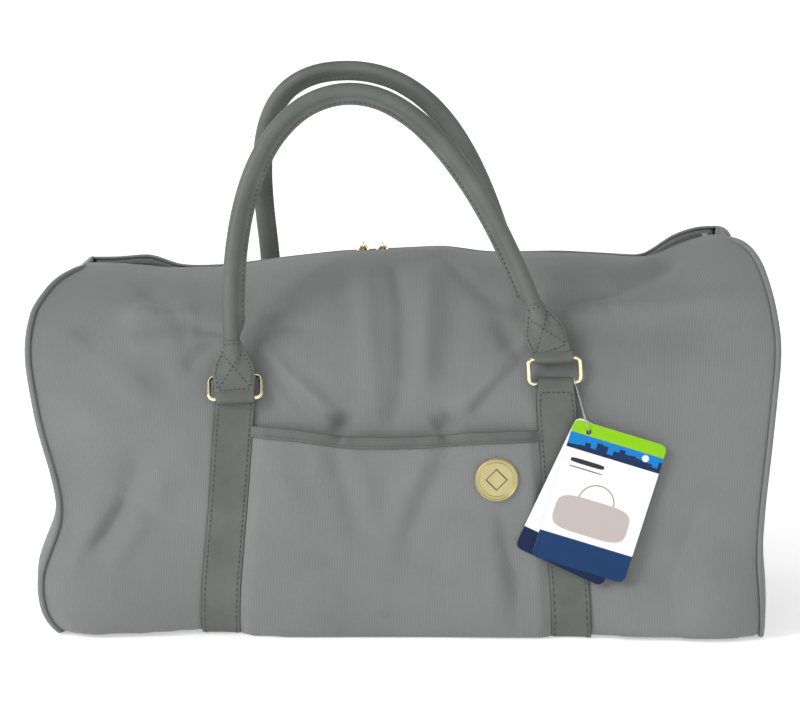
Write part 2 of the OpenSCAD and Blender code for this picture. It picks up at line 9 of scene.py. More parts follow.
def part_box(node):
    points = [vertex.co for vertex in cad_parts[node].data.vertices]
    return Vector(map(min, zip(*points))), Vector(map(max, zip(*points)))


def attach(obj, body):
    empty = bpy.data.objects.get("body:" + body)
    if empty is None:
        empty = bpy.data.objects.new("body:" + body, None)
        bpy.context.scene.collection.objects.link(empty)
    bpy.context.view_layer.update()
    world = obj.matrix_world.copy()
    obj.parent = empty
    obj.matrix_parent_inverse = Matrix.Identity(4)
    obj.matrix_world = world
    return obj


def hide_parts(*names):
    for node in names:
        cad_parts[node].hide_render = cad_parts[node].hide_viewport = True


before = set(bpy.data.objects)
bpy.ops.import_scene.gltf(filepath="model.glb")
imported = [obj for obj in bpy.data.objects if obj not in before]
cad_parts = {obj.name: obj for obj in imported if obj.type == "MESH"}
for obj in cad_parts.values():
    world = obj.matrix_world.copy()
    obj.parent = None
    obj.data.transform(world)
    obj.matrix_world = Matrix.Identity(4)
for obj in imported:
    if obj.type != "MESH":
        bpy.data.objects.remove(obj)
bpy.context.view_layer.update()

# ---- Camera, floor and lamps ----
# The bag stands on a pale round sweep, under large soft lamps, and is seen from a
# step and a half away, a little above its own top.
camera = bpy.data.objects.new("camera", bpy.data.cameras.new("camera"))
camera.data.lens = 91
camera.location = (0.0033, -1.634, 0.366)
camera_target = Vector((0.0033, -0.142, 0.2096))
camera.rotation_euler = (camera_target - camera.location).to_track_quat("-Z", "Y").to_euler()
bpy.context.scene.collection.objects.link(camera)
bpy.context.scene.camera = camera
bpy.context.scene.view_settings.view_transform = "Standard"


def shader(name):
    """A new material with its node tree and its Principled BSDF's sockets."""
    material = bpy.data.materials.new(name)
    material.use_nodes = True
    tree = material.node_tree
    return material, tree, tree.nodes["Principled BSDF"].inputs


def object_from(bm, name, *materials, smooth=True):
    """Turns a finished bmesh into an object in the scene."""
    mesh = bpy.data.meshes.new(name)
    bm.to_mesh(mesh)
    bm.free()
    for material in materials:
        mesh.materials.append(material)
    for layer in mesh.uv_layers:
        layer.name = "UVMap"
    mesh.polygons.foreach_set("use_smooth", [smooth] * len(mesh.polygons))
    made = bpy.data.objects.new(name, mesh)
    bpy.context.scene.collection.objects.link(made)
    return made


sweep_flat = 3.4
sweep_turn = 1.0
sweep_wall = 1.5
pale, _, pale_sockets = shader("pale_sweep")
pale_sockets["Base Color"].default_value = (0.93, 0.93, 0.93, 1)
pale_sockets["Roughness"].default_value = 0.9
pale_sockets["Specular IOR Level"].default_value = 0.1
pale_sockets["Emission Color"].default_value = (1, 1, 1, 1)
pale_sockets["Emission Strength"].default_value = 0.42
bm = bmesh.new()
sweep_line = [(0, 0), (sweep_flat, 0)]
sweep_line += [
    (sweep_flat + sweep_turn * math.sin(a), sweep_turn * (1 - math.cos(a)))
    for a in np.linspace(0.1, math.pi / 2, 12)
]
sweep_line.append((sweep_flat + sweep_turn, sweep_turn + sweep_wall))
verts = [bm.verts.new((x, 0, z)) for x, z in sweep_line]
edges = [bm.edges.new(pair) for pair in zip(verts, verts[1:])]
bmesh.ops.spin(
    bm, geom=verts + edges, axis=(0, 0, 1), cent=(0, 0, 0),
    angle=2 * math.pi, steps=72, use_merge=True,
)
bmesh.ops.remove_doubles(bm, verts=bm.verts, dist=1e-5)
bmesh.ops.recalc_face_normals(bm, faces=bm.faces)
if sum(face.normal.z for face in bm.faces) < 0:
    bmesh.ops.reverse_faces(bm, faces=bm.faces)
object_from(bm, "sweep", pale)

lamps = {
    "key_lamp": ((-2.0, -1.8, 1.6), 1.2, 52),
    "fill_lamp": ((1.0, -2.8, 0.9), 2.0, 2),
    "top_lamp": ((-0.4, -0.9, 2.4), 0.9, 4),
    "back_lamp": ((-0.8, 2.6, 1.2), 2.2, 12),
}
for name, (place, size, watts) in lamps.items():
    lamp = bpy.data.objects.new(name, bpy.data.lights.new(name, "AREA"))
    lamp.data.size = size
    lamp.data.energy = watts
    lamp.location = place
    aim = Vector((0, 0, 0.2)) - lamp.location
    lamp.rotation_euler = aim.to_track_quat("-Z", "Y").to_euler()
    bpy.context.scene.collection.objects.link(lamp)
sky = bpy.data.worlds.new("sky")
sky.use_nodes = True
sky.node_tree.nodes["Background"].inputs["Color"].default_value = (1, 1, 1, 1)
sky.node_tree.nodes["Background"].inputs["Strength"].default_value = 0.30
bpy.context.scene.world = sky

# ---- Canvas body ----
# Front, back and base are ribbed canvas with a thin backing, sewn into a barrel. The
# bag is nearly empty, so the barrel sags, its ends lean and the cloth creases below
# the four places where the handles pull on it.
end_low, end_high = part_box("end_panel_left")
radius = end_high.y
ridge = end_high.z
base_z = end_low.z
arch_z = ridge - radius
seam_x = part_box("front_panel")[1].x
zip_edge = -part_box("front_panel")[1].y
half_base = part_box("base_panel")[1].y
corner = radius - half_base
canvas_t = 0.002
arch_run = radius * math.pi / 2
side_run = arch_z - base_z - corner
corner_run = corner * math.pi / 2
base_run = arch_run + side_run + corner_run
half_run = base_run + half_base


def ease(value, start, end):
    """0 before start and 1 after end, with a smooth step between."""
    t = np.clip((value - start) / (end - start), 0, 1)
    return t * t * (3 - 2 * t)


def outline(run, lift):
    """Height and depth of the barrel's section at a run from the ridge, down the front if positive."""
    s = np.abs(run)
    side = np.where(run >= 0, -1.0, 1.0)
    top = s / radius
    bend = np.clip((s - arch_run - side_run) / corner, 0, math.pi / 2)
    places = [s < arch_run, s < arch_run + side_run, s < base_run, s >= base_run]
    out_y = np.select(places, [np.sin(top), 1 + 0 * s, np.cos(bend), 0 * s])
    out_z = np.select(places, [np.cos(top), 0 * s, -np.sin(bend), -1 + 0 * s])
    y = np.select(places, [
        radius * np.sin(top), radius + 0 * s, half_base + corner * np.cos(bend), half_run - s,
    ])
    z = np.select(places, [
        arch_z + radius * np.cos(top), arch_z + arch_run - s,
        base_z + corner * (1 - np.sin(bend)), base_z + 0 * s,
    ])
    return side * (y + lift * out_y), z + lift * out_z, side * out_y, out_z


def run_at(height):
    """The run down the front at which the barrel has that height."""
    if height > arch_z:
        return radius * math.acos((height - arch_z) / radius)
    return arch_run + arch_z - height


# Where each end seam lies, as (run from the ridge, distance from the middle), in mm
left_seam = [
    (0, 246), (36, 249), (52, 257), (70, 264.5), (108, 275), (137, 276.5), (157, 275), (203, 265),
    (240, 254.5), (262, 250), (280, 251), (300, 259), (317, 265), (340, 263.5), (360, 255),
    (386, 246), (484, 246),
]
right_seam = [
    (0, 258), (30, 266), (46, 275), (70, 281.5), (108, 286), (137, 287.5), (157, 286), (180, 282.5),
    (203, 279.5), (243, 275.5), (290, 271), (310, 270.5), (352, 275), (370, 275), (386, 269), (484, 266),
]
# Height that the ridge gains or loses, as (distance along the bag, gain), in mm
ridge_front = [
    (-250, -9), (-190, -13), (-134, -12), (-94, -5.5), (-45, 0), (-30, 0.5), (10, 3), (40, 4.5), (60, 0.5),
    (75, -1), (105, 0), (165, -2), (190, -4), (212, -4), (235, 5), (255, 12), (270, 14),
]
ridge_back = [
    (-250, -5), (-216, -2.5), (-200, -6), (-185, -11), (-165, -12), (-134, -11), (-94, -5.5), (-45, 0),
    (40, 4), (75, -1), (133, 0), (182, -2.5), (206, -4), (220, 5), (232, 13), (255, 20), (270, 20),
]
# How far the empty bag slouches outwards along its front lower edge, as (x, swell), in mm
slouch_front = [
    (-270, 9), (-255, 18), (-235, 22), (-190, 20), (-150, 12), (-125, 11), (-90, 15), (90, 17), (140, 19),
    (175, 29), (240, 30), (262, 25), (275, 12),
]


def smooth_between(points, value):
    """Reads a curve through (place, amount) pairs given in mm, rounded at its corners."""
    at, amount = np.array(points).T / 1000
    spread = 0.006 * np.array([-2, -1, 0, 1, 2])
    share = (0.1, 0.2, 0.4, 0.2, 0.1)
    return sum(k * np.interp(value + d, at, amount) for k, d in zip(share, spread))


# Creases and swells of the front, as (x, height, to x, to height, half width, depth),
# in mm: a negative depth is a valley
front_folds = [
    (-152, 232, -126, 230, 4, -3.0), (-172, 240, -152, 235, 8, -2.2), (-205, 244, -150, 246, 16, 4.4),
    (-134, 222, -158, 203, 6, -4.2), (-166, 198, -190, 190, 9, -2.0), (-160, 224, -200, 218, 9, 3.4),
    (-200, 268, -165, 244, 10, -3.4), (-236, 224, -205, 246, 12, -2.6), (-215, 205, -180, 178, 16, 3.0),
    (-104, 220, -80, 195, 5, 3.6), (-80, 195, -46, 168, 7, 4.4), (-99, 207, -58, 168, 5, -3.2),
    (-46, 166, -34, 159, 9, -7.5), (-100, 240, -84, 250, 5, -2.2), (-92, 230, -70, 234, 5, -1.6),
    (-2, 276, 6, 240, 6, -3.2), (6, 240, 6, 190, 7, -3.6), (-26, 272, -16, 175, 9, 2.8),
    (26, 270, 20, 185, 8, 3.0), (6, 190, -4, 162, 8, -3.2), (48, 262, 38, 195, 10, -2.6),
    (-64, 268, -50, 228, 14, 1.8), (30, 282, 60, 262, 8, -3.0), (60, 262, 84, 246, 9, -3.4),
    (104, 232, 84, 205, 5, 3.2),
    (84, 205, 46, 172, 8, 4.0), (98, 212, 56, 170, 5, -3.4), (44, 166, 30, 158, 9, -6.5),
    (92, 240, 108, 262, 8, -3.2), (124, 236, 160, 246, 9, 3.0), (160, 246, 250, 252, 12, 4.0),
    (116, 250, 170, 262, 10, -6.0), (170, 262, 226, 282, 12, -5.5), (150, 232, 235, 226, 16, -1.6),
    (78, 240, 97, 206, 9, -4.6),
    (-212, 108, -238, 70, 6, -4.6), (-196, 136, -214, 110, 10, -2.6), (-238, 112, -252, 60, 12, 2.6),
    (-196, 96, -220, 54, 10, 3.0), (-176, 132, -190, 96, 12, 2.2), (-226, 150, -240, 190, 22, 2.6),
    (215, 92, 236, 70, 16, -1.8),
    (180, 150, 205, 95, 24, 2.2), (-170, 170, -160, 110, 22, 2.0), (240, 180, 250, 110, 20, 2.0),
]
back_folds = [
    (-104, 220, -70, 176, 6, 4.0), (-96, 206, -62, 170, 6, -3.2), (-134, 222, -170, 196, 8, -3.6),
    (-180, 240, -120, 244, 18, 3.0), (104, 222, 66, 178, 6, 4.0), (98, 208, 58, 168, 6, -3.2),
    (134, 222, 172, 198, 8, -3.6), (140, 240, 220, 252, 14, 3.6), (-8, 268, 6, 130, 9, -3.4),
    (-30, 262, -20, 120, 12, 2.6), (30, 262, 24, 130, 12, 2.8), (206, 112, 236, 66, 9, -5.0),
    (-206, 100, -232, 62, 9, -4.4), (-60, 120, -30, 60, 14, -2.4), (70, 120, 40, 56, 14, -2.6),
    (-190, 150, -170, 80, 22, 2.4), (190, 160, 176, 90, 22, 2.4), (0, 110, 0, 50, 24, 2.4),
]

crease = 1.15  # share of the listed depths that the cloth takes


def folds_at(folds, x, s):
    """How far the listed folds move the cloth outwards."""
    total = np.zeros_like(x)
    for x0, z0, x1, z1, width, depth in folds:
        start = np.array([x0 / 1000, run_at(z0 / 1000) if z0 < 284 else 0.02])
        end = np.array([x1 / 1000, run_at(z1 / 1000) if z1 < 284 else 0.02])
        along = end - start
        t = ((x - start[0]) * along[0] + (s - start[1]) * along[1]) / (along @ along)
        t = np.clip(t, 0, 1)
        gap = np.hypot(x - start[0] - t * along[0], s - start[1] - t * along[1])
        fade = 1 - 0.75 * (2 * t - 1) ** 4
        total += crease * fade * depth / 1000 * np.exp(-((gap / (width / 1000)) ** 2))
    return total


def ripple(x, y, z):
    """Slow unevenness of soft cloth, the same on every layer at one place."""
    slow = [noise.noise(Vector(p) * 11) + 0.4 * noise.noise(Vector(p) * 29) for p in zip(x, y, z)]
    return np.array(slow)


# The four ring loops and the badge hold the cloth in place round them
held = [(-0.119, 0.197, 0.020), (0.119, 0.193, 0.020), (0.075, 0.122, 0.018)]


def hold(x, s):
    """1 where a ring loop or the badge holds the cloth to its own shape, 0 away from them."""
    mask = np.zeros_like(x)
    for at_x, height, reach in held:
        gap = np.hypot(x - at_x, s - run_at(height))
        mask = np.maximum(mask, 1 - ease(gap, reach, 2 * reach))
    return mask


def on_bag(x, run, lift, folds=True):
    """Places points given along the bag, along its section and off its cloth, sags and folds included."""
    x, run, lift = np.broadcast_arrays(np.asarray(x, float), np.asarray(run, float), np.asarray(lift, float))
    run = (run + half_run) % (2 * half_run) - half_run
    s = np.abs(run)
    front = ease(run, -0.012, 0.012)
    y, z, out_y, out_z = outline(run, 0)
    out = 0.0014 * ripple(x, y, z)
    if folds:
        out = out + np.where(run >= 0, folds_at(front_folds, x, s), folds_at(back_folds, x, s))
    out *= (1 - 0.92 * hold(x, s)) * ease(s, 0.004, 0.03) * (1 - ease(s, base_run - 0.03, base_run))
    belly = 0.004 * np.cos(math.pi * x / (2 * seam_x)) * ease(s, arch_run * 0.6, arch_run) \
        * (1 - ease(s, base_run - 0.05, base_run)) * (1 - 0.9 * hold(x, s))
    out = out - 0.5 * belly
    left = smooth_between(left_seam, s) - seam_x
    right = smooth_between(right_seam, s) - seam_x
    lean = np.where(x < 0, -left, right) * ease(np.abs(x), 0.12, seam_x) ** 1.3
    top = 1 - ease(s, 0.02, 0.15)
    gain = front * smooth_between(ridge_front, x) + (1 - front) * smooth_between(ridge_back, x)
    low = ease(s, arch_run, base_run)
    tilt = low * (0.0025 * ease(-x, 0.05, 0.15) * (1 - ease(-x, 0.19, 0.25)) - 0.004 * ease(x, 0.14, 0.22))
    tilt = np.where(s < base_run - 0.012, tilt, tilt * (1 - ease(s, base_run - 0.012, base_run + 0.02)))
    slouch = smooth_between(slouch_front, x) * front + 0.012 * (1 - front)
    corner_mid = arch_run + side_run + corner_run * 0.5
    by_tag = ease(x, 0.07, 0.092) * (1 - ease(x, 0.205, 0.235)) * front
    rise = 0.10 - 0.062 * by_tag
    slouch = slouch * ease(s, corner_mid - rise, corner_mid + 0.004)
    slouch = slouch * (1 - ease(s, corner_mid + 0.010, base_run + 0.02))
    off = lift + out + slouch
    z = z + off * out_z + top * gain + tilt
    floor_gap = 0.0029 - np.minimum(lift, 0.0023)
    return np.stack([x + lean, y + off * out_y, np.maximum(z, floor_gap)], axis=-1)


def grid(bm, place, columns, rows, span=(1, 1)):
    """Adds a sheet of faces whose points go where place says; its UV map is the flat cloth in metres."""
    flat = bm.loops.layers.uv.verify()
    made = bmesh.ops.create_grid(bm, x_segments=columns, y_segments=rows, size=0.5)["verts"]
    share = np.array([v.co for v in made])[:, :2] + 0.5
    at = {}
    for vert, point, uv in zip(made, place(share[:, 0], share[:, 1]), share * span):
        vert.co = point
        at[vert] = uv
    faces = {face for vert in made for face in vert.link_faces}
    for face in faces:
        for loop in face.loops:
            loop[flat].uv = at[loop.vert]
    return made, list(faces)


def face_away(bm, faces, middle=(0, 0, arch_z)):
    """Turns an open sheet's faces so that they look away from a point."""
    bmesh.ops.recalc_face_normals(bm, faces=faces)
    bm.normal_update()
    if sum(face.normal.dot(face.calc_center_median() - Vector(middle)) for face in faces) < 0:
        bmesh.ops.reverse_faces(bm, faces=faces)


def node(tree, kind, inputs=(), **settings):
    """Adds a node, with its settings, and links or sets its inputs in order."""
    made = tree.nodes.new(kind)
    for key, value in settings.items():
        setattr(made, key, value)
    for key, value in dict(inputs).items():
        if isinstance(value, bpy.types.NodeSocket):
            tree.links.new(value, made.inputs[key])
        else:
            made.inputs[key].default_value = value
    return made


def new_group(name, takes, gives):
    """A shader node group with named inputs and outputs."""
    group = bpy.data.node_groups.new(name, "ShaderNodeTree")
    for socket, kind, value in takes:
        made = group.interface.new_socket(name=socket, in_out="INPUT", socket_type=kind)
        if value is not None:
            made.default_value = value
    for socket, kind in gives:
        group.interface.new_socket(name=socket, in_out="OUTPUT", socket_type=kind)
    return group, group.nodes.new("NodeGroupInput"), group.nodes.new("NodeGroupOutput")


def math_node(tree, operation, first, second=0.0):
    """One sum on two sockets or numbers."""
    return node(tree, "ShaderNodeMath", {0: first, 1: second}, operation=operation).outputs[0]


FLOAT = "NodeSocketFloat"
ribs, ribs_in, ribs_out = new_group(
    "woven_ribs",
    [("Vector", "NodeSocketVector", None), ("Pitch", FLOAT, 0.0018), ("Pick", FLOAT, 0.0011)],
    [("Height", FLOAT), ("Shade", FLOAT), ("Fleck", FLOAT)],
)
cloth_at = node(ribs, "ShaderNodeSeparateXYZ", {0: ribs_in.outputs["Vector"]}).outputs
slip = node(ribs, "ShaderNodeTexNoise", {"Vector": ribs_in.outputs["Vector"], "Scale": 160.0, "Detail": 2.0})
drift = math_node(ribs, "MULTIPLY", slip.outputs["Fac"], 0.0009)
rib_turn = math_node(ribs, "DIVIDE", math_node(ribs, "ADD", cloth_at[0], drift), ribs_in.outputs["Pitch"])
rib_wave = math_node(ribs, "COSINE", math_node(ribs, "MULTIPLY", rib_turn, 2 * math.pi))
pick_turn = math_node(ribs, "DIVIDE", math_node(ribs, "ADD", cloth_at[1], drift), ribs_in.outputs["Pick"])
pick_wave = math_node(ribs, "COSINE", math_node(ribs, "MULTIPLY", pick_turn, 2 * math.pi))
fleck = node(ribs, "ShaderNodeTexNoise", {
    "Vector": ribs_in.outputs["Vector"], "Scale": 1500.0, "Detail": 3.0,
})
height = math_node(
    ribs, "ADD", math_node(ribs, "MULTIPLY", rib_wave, 0.36), math_node(ribs, "MULTIPLY", pick_wave, 0.16)
)
height = math_node(ribs, "ADD", height, math_node(ribs, "MULTIPLY", fleck.outputs["Fac"], 0.5))
ribs.links.new(height, ribs_out.inputs["Height"])
# Shade is painted shade: the colour is lighter on each rib's crest and darker in the groove between ribs.
shade = math_node(ribs, "ADD", math_node(ribs, "MULTIPLY", rib_wave, 0.5), 0.5)
ribs.links.new(shade, ribs_out.inputs["Shade"])
ribs.links.new(fleck.outputs["Fac"], ribs_out.inputs["Fleck"])

patchy, patchy_in, patchy_out = new_group(
    "patchy_tone",
    [("Dark", "NodeSocketColor", (0, 0, 0, 1)), ("Light", "NodeSocketColor", (1, 1, 1, 1)),
     ("Scale", FLOAT, 9.0), ("Mask", FLOAT, 0.5)],
    [("Color", "NodeSocketColor"), ("Cloud", FLOAT)],
)
body_at = node(patchy, "ShaderNodeTexCoord").outputs["Object"]
cloud = node(patchy, "ShaderNodeTexNoise", {
    "Vector": body_at, "Scale": patchy_in.outputs["Scale"], "Detail": 5.0, "Roughness": 0.62,
})
cloud_mix = math_node(
    patchy, "ADD", math_node(patchy, "MULTIPLY", cloud.outputs["Fac"], 0.9),
    math_node(patchy, "MULTIPLY", patchy_in.outputs["Mask"], 0.42),
)
spread = {"Value": cloud_mix, "From Min": 0.32, "From Max": 1.0}
cloud_mix = node(patchy, "ShaderNodeMapRange", spread).outputs[0]
toned = node(patchy, "ShaderNodeMix", {
    0: cloud_mix, 6: patchy_in.outputs["Dark"], 7: patchy_in.outputs["Light"],
}, data_type="RGBA")
patchy.links.new(toned.outputs[2], patchy_out.inputs["Color"])
patchy.links.new(cloud_mix, patchy_out.inputs["Cloud"])


def grouped(tree, group, inputs):
    """Places a node group in a material."""
    made = node(tree, "ShaderNodeGroup", node_tree=group)
    for key, value in inputs.items():
        if isinstance(value, bpy.types.NodeSocket):
            tree.links.new(value, made.inputs[key])
        else:
            made.inputs[key].default_value = value
    return made.outputs


def canvas_material(name, dark, light, pitch=0.0019, stain=False):
    """Ribbed canvas: upright ribs in the flat cloth, with painted shade in the grooves between them and a
    dusty unevenness.
    """
    material, tree, sockets = shader(name)
    flat = node(tree, "ShaderNodeUVMap", uv_map="UVMap").outputs[0]
    weave = grouped(tree, ribs, {"Vector": flat, "Pitch": pitch, "Pick": 0.0011})
    tone = grouped(tree, patchy, {"Dark": dark, "Light": light, "Scale": 7.0, "Mask": weave["Fleck"]})
    # Painted shade: the canvas colour is scaled down in the grooves between the ribs and up on their crests.
    groove_shade = node(tree, "ShaderNodeMapRange", {"Value": weave["Shade"], "To Min": 0.90, "To Max": 1.04})
    groove_shaded = node(tree, "ShaderNodeVectorMath", {0: tone["Color"], 3: groove_shade.outputs[0]}, operation="SCALE")
    colour = groove_shaded.outputs[0]
    if stain:
        at = node(tree, "ShaderNodeTexCoord").outputs["Object"]
        near = node(tree, "ShaderNodeMapping", {
            "Vector": at, "Location": (0.0065, 0.0, -0.0345), "Scale": (1, 0.05, 1.6),
        })
        smudge = node(tree, "ShaderNodeTexNoise", {"Vector": at, "Scale": 120.0, "Detail": 3.0})
        reach = node(tree, "ShaderNodeVectorMath", {0: near.outputs[0]}, operation="LENGTH").outputs[1]
        spot = math_node(tree, "ADD", reach, math_node(tree, "MULTIPLY", smudge.outputs["Fac"], 0.012))
        mask = node(tree, "ShaderNodeMapRange", {
            "Value": spot, "From Min": 0.008, "From Max": 0.017, "To Min": 0.55, "To Max": 0.0,
        })
        mixed = node(tree, "ShaderNodeMix", {
            0: mask.outputs[0], 6: colour, 7: (0.15, 0.105, 0.075, 1),
        }, data_type="RGBA")
        colour = mixed.outputs[2]
    tree.links.new(colour, sockets["Base Color"])
    rough = node(tree, "ShaderNodeMapRange", {"Value": tone["Cloud"], "To Min": 0.86, "To Max": 0.97})
    tree.links.new(rough.outputs[0], sockets["Roughness"])
    sockets["Specular IOR Level"].default_value = 0.18
    sockets["Sheen Weight"].default_value = 0.14
    sockets["Sheen Roughness"].default_value = 0.5
    bump = node(tree, "ShaderNodeBump", {"Height": weave["Height"], "Strength": 0.42, "Distance": 0.00030})
    tree.links.new(bump.outputs[0], sockets["Normal"])
    return material


canvas = canvas_material("ribbed_canvas", (0.150, 0.155, 0.155, 1), (0.214, 0.218, 0.217, 1), stain=True)


def panel(name, start, end, columns, rows, reach=seam_x, lift=0.0, thick=canvas_t, material=canvas):
    """A piece of the barrel between two runs, with the cloth's thickness inwards."""
    bm = bmesh.new()
    _, faces = grid(
        bm, lambda u, v: on_bag((2 * u - 1) * reach, start + v * (end - start), lift),
        columns, rows, (2 * reach, abs(end - start)),
    )
    face_away(bm, faces)
    made = object_from(bm, name, material)
    wall = made.modifiers.new("cloth", "SOLIDIFY")
    wall.thickness = thick
    wall.offset = -1
    return made


def finish_piece(piece, body="bag", replaced=()):
    """Ties a finished piece to its body and hides the CAD nodes that it stands for."""
    if replaced:
        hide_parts(*replaced)
    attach(piece, body)


edge_run = radius * math.asin(zip_edge / radius)
front = panel("front_cloth", edge_run, base_run, 168, 112)
back = panel("back_cloth", -edge_run, -base_run, 150, 100)
base = panel("base_cloth", base_run, 2 * half_run - base_run, 90, 34)
for piece, name in ((front, "front_panel"), (back, "back_panel"), (base, "base_panel")):
    finish_piece(piece, "bag", [name])

# ---- Ends and piping ----
# Each end is a canvas panel that bulges a little, sewn to the barrel over a cord
# covered in the same canvas. The bulge dips where the ring tab is sewn on.
piping_r = (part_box("piping_left")[1].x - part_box("piping_left")[0].x) / 2
tab_height = 0.2


def end_shape(side, share, run):
    """A point of an end panel: share is 0 in the middle and 1 at the seam, at a run round it."""
    rim = on_bag(side * (seam_x - 0.0005) + 0 * run, run, 0)
    middle_z = 0.142
    y = share * rim[..., 1]
    z = middle_z + share * (rim[..., 2] - middle_z)
    height = np.clip(z, base_z + 0.001, ridge - 0.001)
    level = np.where(
        height > arch_z, radius * np.arccos((height - arch_z) / radius), arch_run + arch_z - height
    )
    seam = left_seam if side < 0 else right_seam
    inner = smooth_between(seam, level) - 0.0005
    x = share ** 3 * np.abs(rim[..., 0]) + (1 - share ** 3) * inner
    dent = np.exp(-((y ** 2 + (z - tab_height) ** 2) / 0.062 ** 2))
    x -= dent * (1 - share ** 6) * (inner - seam_x)
    wave = ripple(0.6 * y, 0.6 * z, 0 * z + side) * 0.0022
    bulge = 0.0078 * (1 - share ** 9) ** 0.5 + wave * (1 - share ** 4) * (1 - dent)
    return np.stack([side * (x + bulge), y, z], axis=-1)


for side, word in ((-1, "left"), (1, "right")):
    bm = bmesh.new()
    _, faces = grid(
        bm, lambda u, v: end_shape(side, 1 - (1 - v) ** 1.6, (2 * u - 1) * half_run), 150, 34,
        (2 * half_run, 0.14),
    )
    flat = bm.loops.layers.uv.verify()
    for face in faces:
        for loop in face.loops:
            loop[flat].uv = loop.vert.co.yz
    bmesh.ops.remove_doubles(bm, verts=bm.verts, dist=1e-5)
    face_away(bm, bm.faces, (0, 0, 0.142))
    end = object_from(bm, f"end_{word}_cloth", canvas)
    wall = end.modifiers.new("cloth", "SOLIDIFY")
    wall.thickness = 0.0016
    wall.offset = -1
    finish_piece(end, "bag", [f"end_panel_{word}"])

    bm = bmesh.new()
    centre = seam_x + 0.4 * piping_r

    def piping_place(u, v):
        turn = 2 * math.pi * v
        sunk = 1.5 * piping_r * (1 - ease(np.abs(2 * u - 1), 0.02, 0.09))
        return on_bag(
            side * (centre + piping_r * np.cos(turn)), (2 * u - 1) * half_run,
            0.35 * piping_r - sunk + piping_r * np.sin(turn),
        )

    _, faces = grid(bm, piping_place, 260, 12, (2 * half_run, 2 * math.pi * piping_r))
    flat = bm.loops.layers.uv.verify()
    for face in faces:
        for loop in face.loops:
            loop[flat].uv = (loop[flat].uv.y, loop[flat].uv.x)
    bmesh.ops.remove_doubles(bm, verts=bm.verts, dist=1e-5)
    bmesh.ops.recalc_face_normals(bm, faces=bm.faces)
    piping = object_from(bm, f"piping_{word}_cord", canvas)
    finish_piece(piping, "bag", [f"piping_{word}"])

# ---- Lining, slip pocket and board ----
# A thin plain-woven bag hangs inside the canvas, with one open pocket on its back
# wall. A stiff board lies on the bottom and takes the feet.
def plain_weave(name, pitch, dark, light, scale, roughness):
    """Fine cloth woven over and under, with a slow unevenness."""
    material, tree, sockets = shader(name)
    flat = node(tree, "ShaderNodeUVMap", uv_map="UVMap").outputs[0]
    weave = grouped(tree, ribs, {"Vector": flat, "Pitch": pitch, "Pick": pitch})
    tone = grouped(tree, patchy, {"Dark": dark, "Light": light, "Scale": scale, "Mask": weave["Fleck"]})
    tree.links.new(tone["Color"], sockets["Base Color"])
    bump = node(tree, "ShaderNodeBump", {"Height": weave["Height"], "Strength": 0.4, "Distance": 0.0002})
    tree.links.new(bump.outputs[0], sockets["Normal"])
    sockets["Roughness"].default_value = roughness
    return material


lining_cloth = plain_weave(
    "plain_lining", 0.0009, (0.07, 0.078, 0.082, 1), (0.12, 0.13, 0.135, 1), 12.0, 0.85
)
lining_t = 0.0006
inside = seam_x - 0.004
lining = panel(
    "lining_cloth", edge_run, 2 * half_run - edge_run, 120, 190, inside, -0.0026, lining_t, lining_cloth
)
bm = bmesh.new()
bm.from_mesh(lining.data)
for side in (-1, 1):
    _, faces = grid(
        bm, lambda u, v: end_shape(side, 0.985 * v, (2 * u - 1) * half_run) * (0.985, 1, 1), 80, 8,
        (2 * half_run, 0.14),
    )
bm.to_mesh(lining.data)
bm.free()
finish_piece(lining, "bag", ["lining"])
inner_pocket = panel(
    "slip_pocket_cloth", -run_at(0.15), -run_at(0.054), 40, 20, 0.098, -0.0052, lining_t, lining_cloth
)
finish_piece(inner_pocket, "bag", ["inner_pocket"])


def flecked(name, scale, detail, dark, light, roughness):
    """A plain stuff with small flecks between two tones."""
    material, tree, sockets = shader(name)
    at = node(tree, "ShaderNodeTexCoord").outputs["Object"]
    fleck = node(tree, "ShaderNodeTexNoise", {"Vector": at, "Scale": scale, "Detail": detail})
    shade = node(tree, "ShaderNodeMix", {0: fleck.outputs["Fac"], 6: dark, 7: light}, data_type="RGBA")
    tree.links.new(shade.outputs[2], sockets["Base Color"])
    sockets["Roughness"].default_value = roughness
    return material


fibreboard = flecked("pressed_board", 240.0, 4.0, (0.018, 0.018, 0.02, 1), (0.05, 0.05, 0.052, 1), 0.8)
bm = bmesh.new()
bmesh.ops.create_cube(bm, size=1)
board_low, board_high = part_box("base_board")
bmesh.ops.scale(bm, verts=bm.verts, vec=(0.452, board_high.y - board_low.y, board_high.z - board_low.z))
uprights = [edge for edge in bm.edges if abs(edge.verts[0].co.z - edge.verts[1].co.z) > 1e-4]
bmesh.ops.bevel(bm, geom=uprights, offset=0.02, affect="EDGES", segments=4, profile=0.5, material=-1)
bmesh.ops.translate(bm, verts=bm.verts, vec=(0.006, 0, (board_low.z + board_high.z) / 2))
board = object_from(bm, "bottom_board", fibreboard, smooth=False)
finish_piece(board, "bag", ["base_board"])

# ---- Front pocket ----
# An open-topped canvas pocket spans the front between the straps. Its mouth sags in
# the middle and is bound with a narrow leather strip, sewn on with one row of thread.
strap_half = 0.119
strap_splay = 0.014
splay_top = 0.1826
pocket_lift = 0.0062
pocket_top_run = run_at(0.1545)
pocket_foot_run = base_run - 0.006


def strap_centre(run):
    """Distance from the middle to a strap's centre line: the straps lean out as they go down."""
    height = outline(run, 0)[1]
    return strap_half + strap_splay * np.clip((splay_top - height) / (splay_top - base_z), 0, 1)


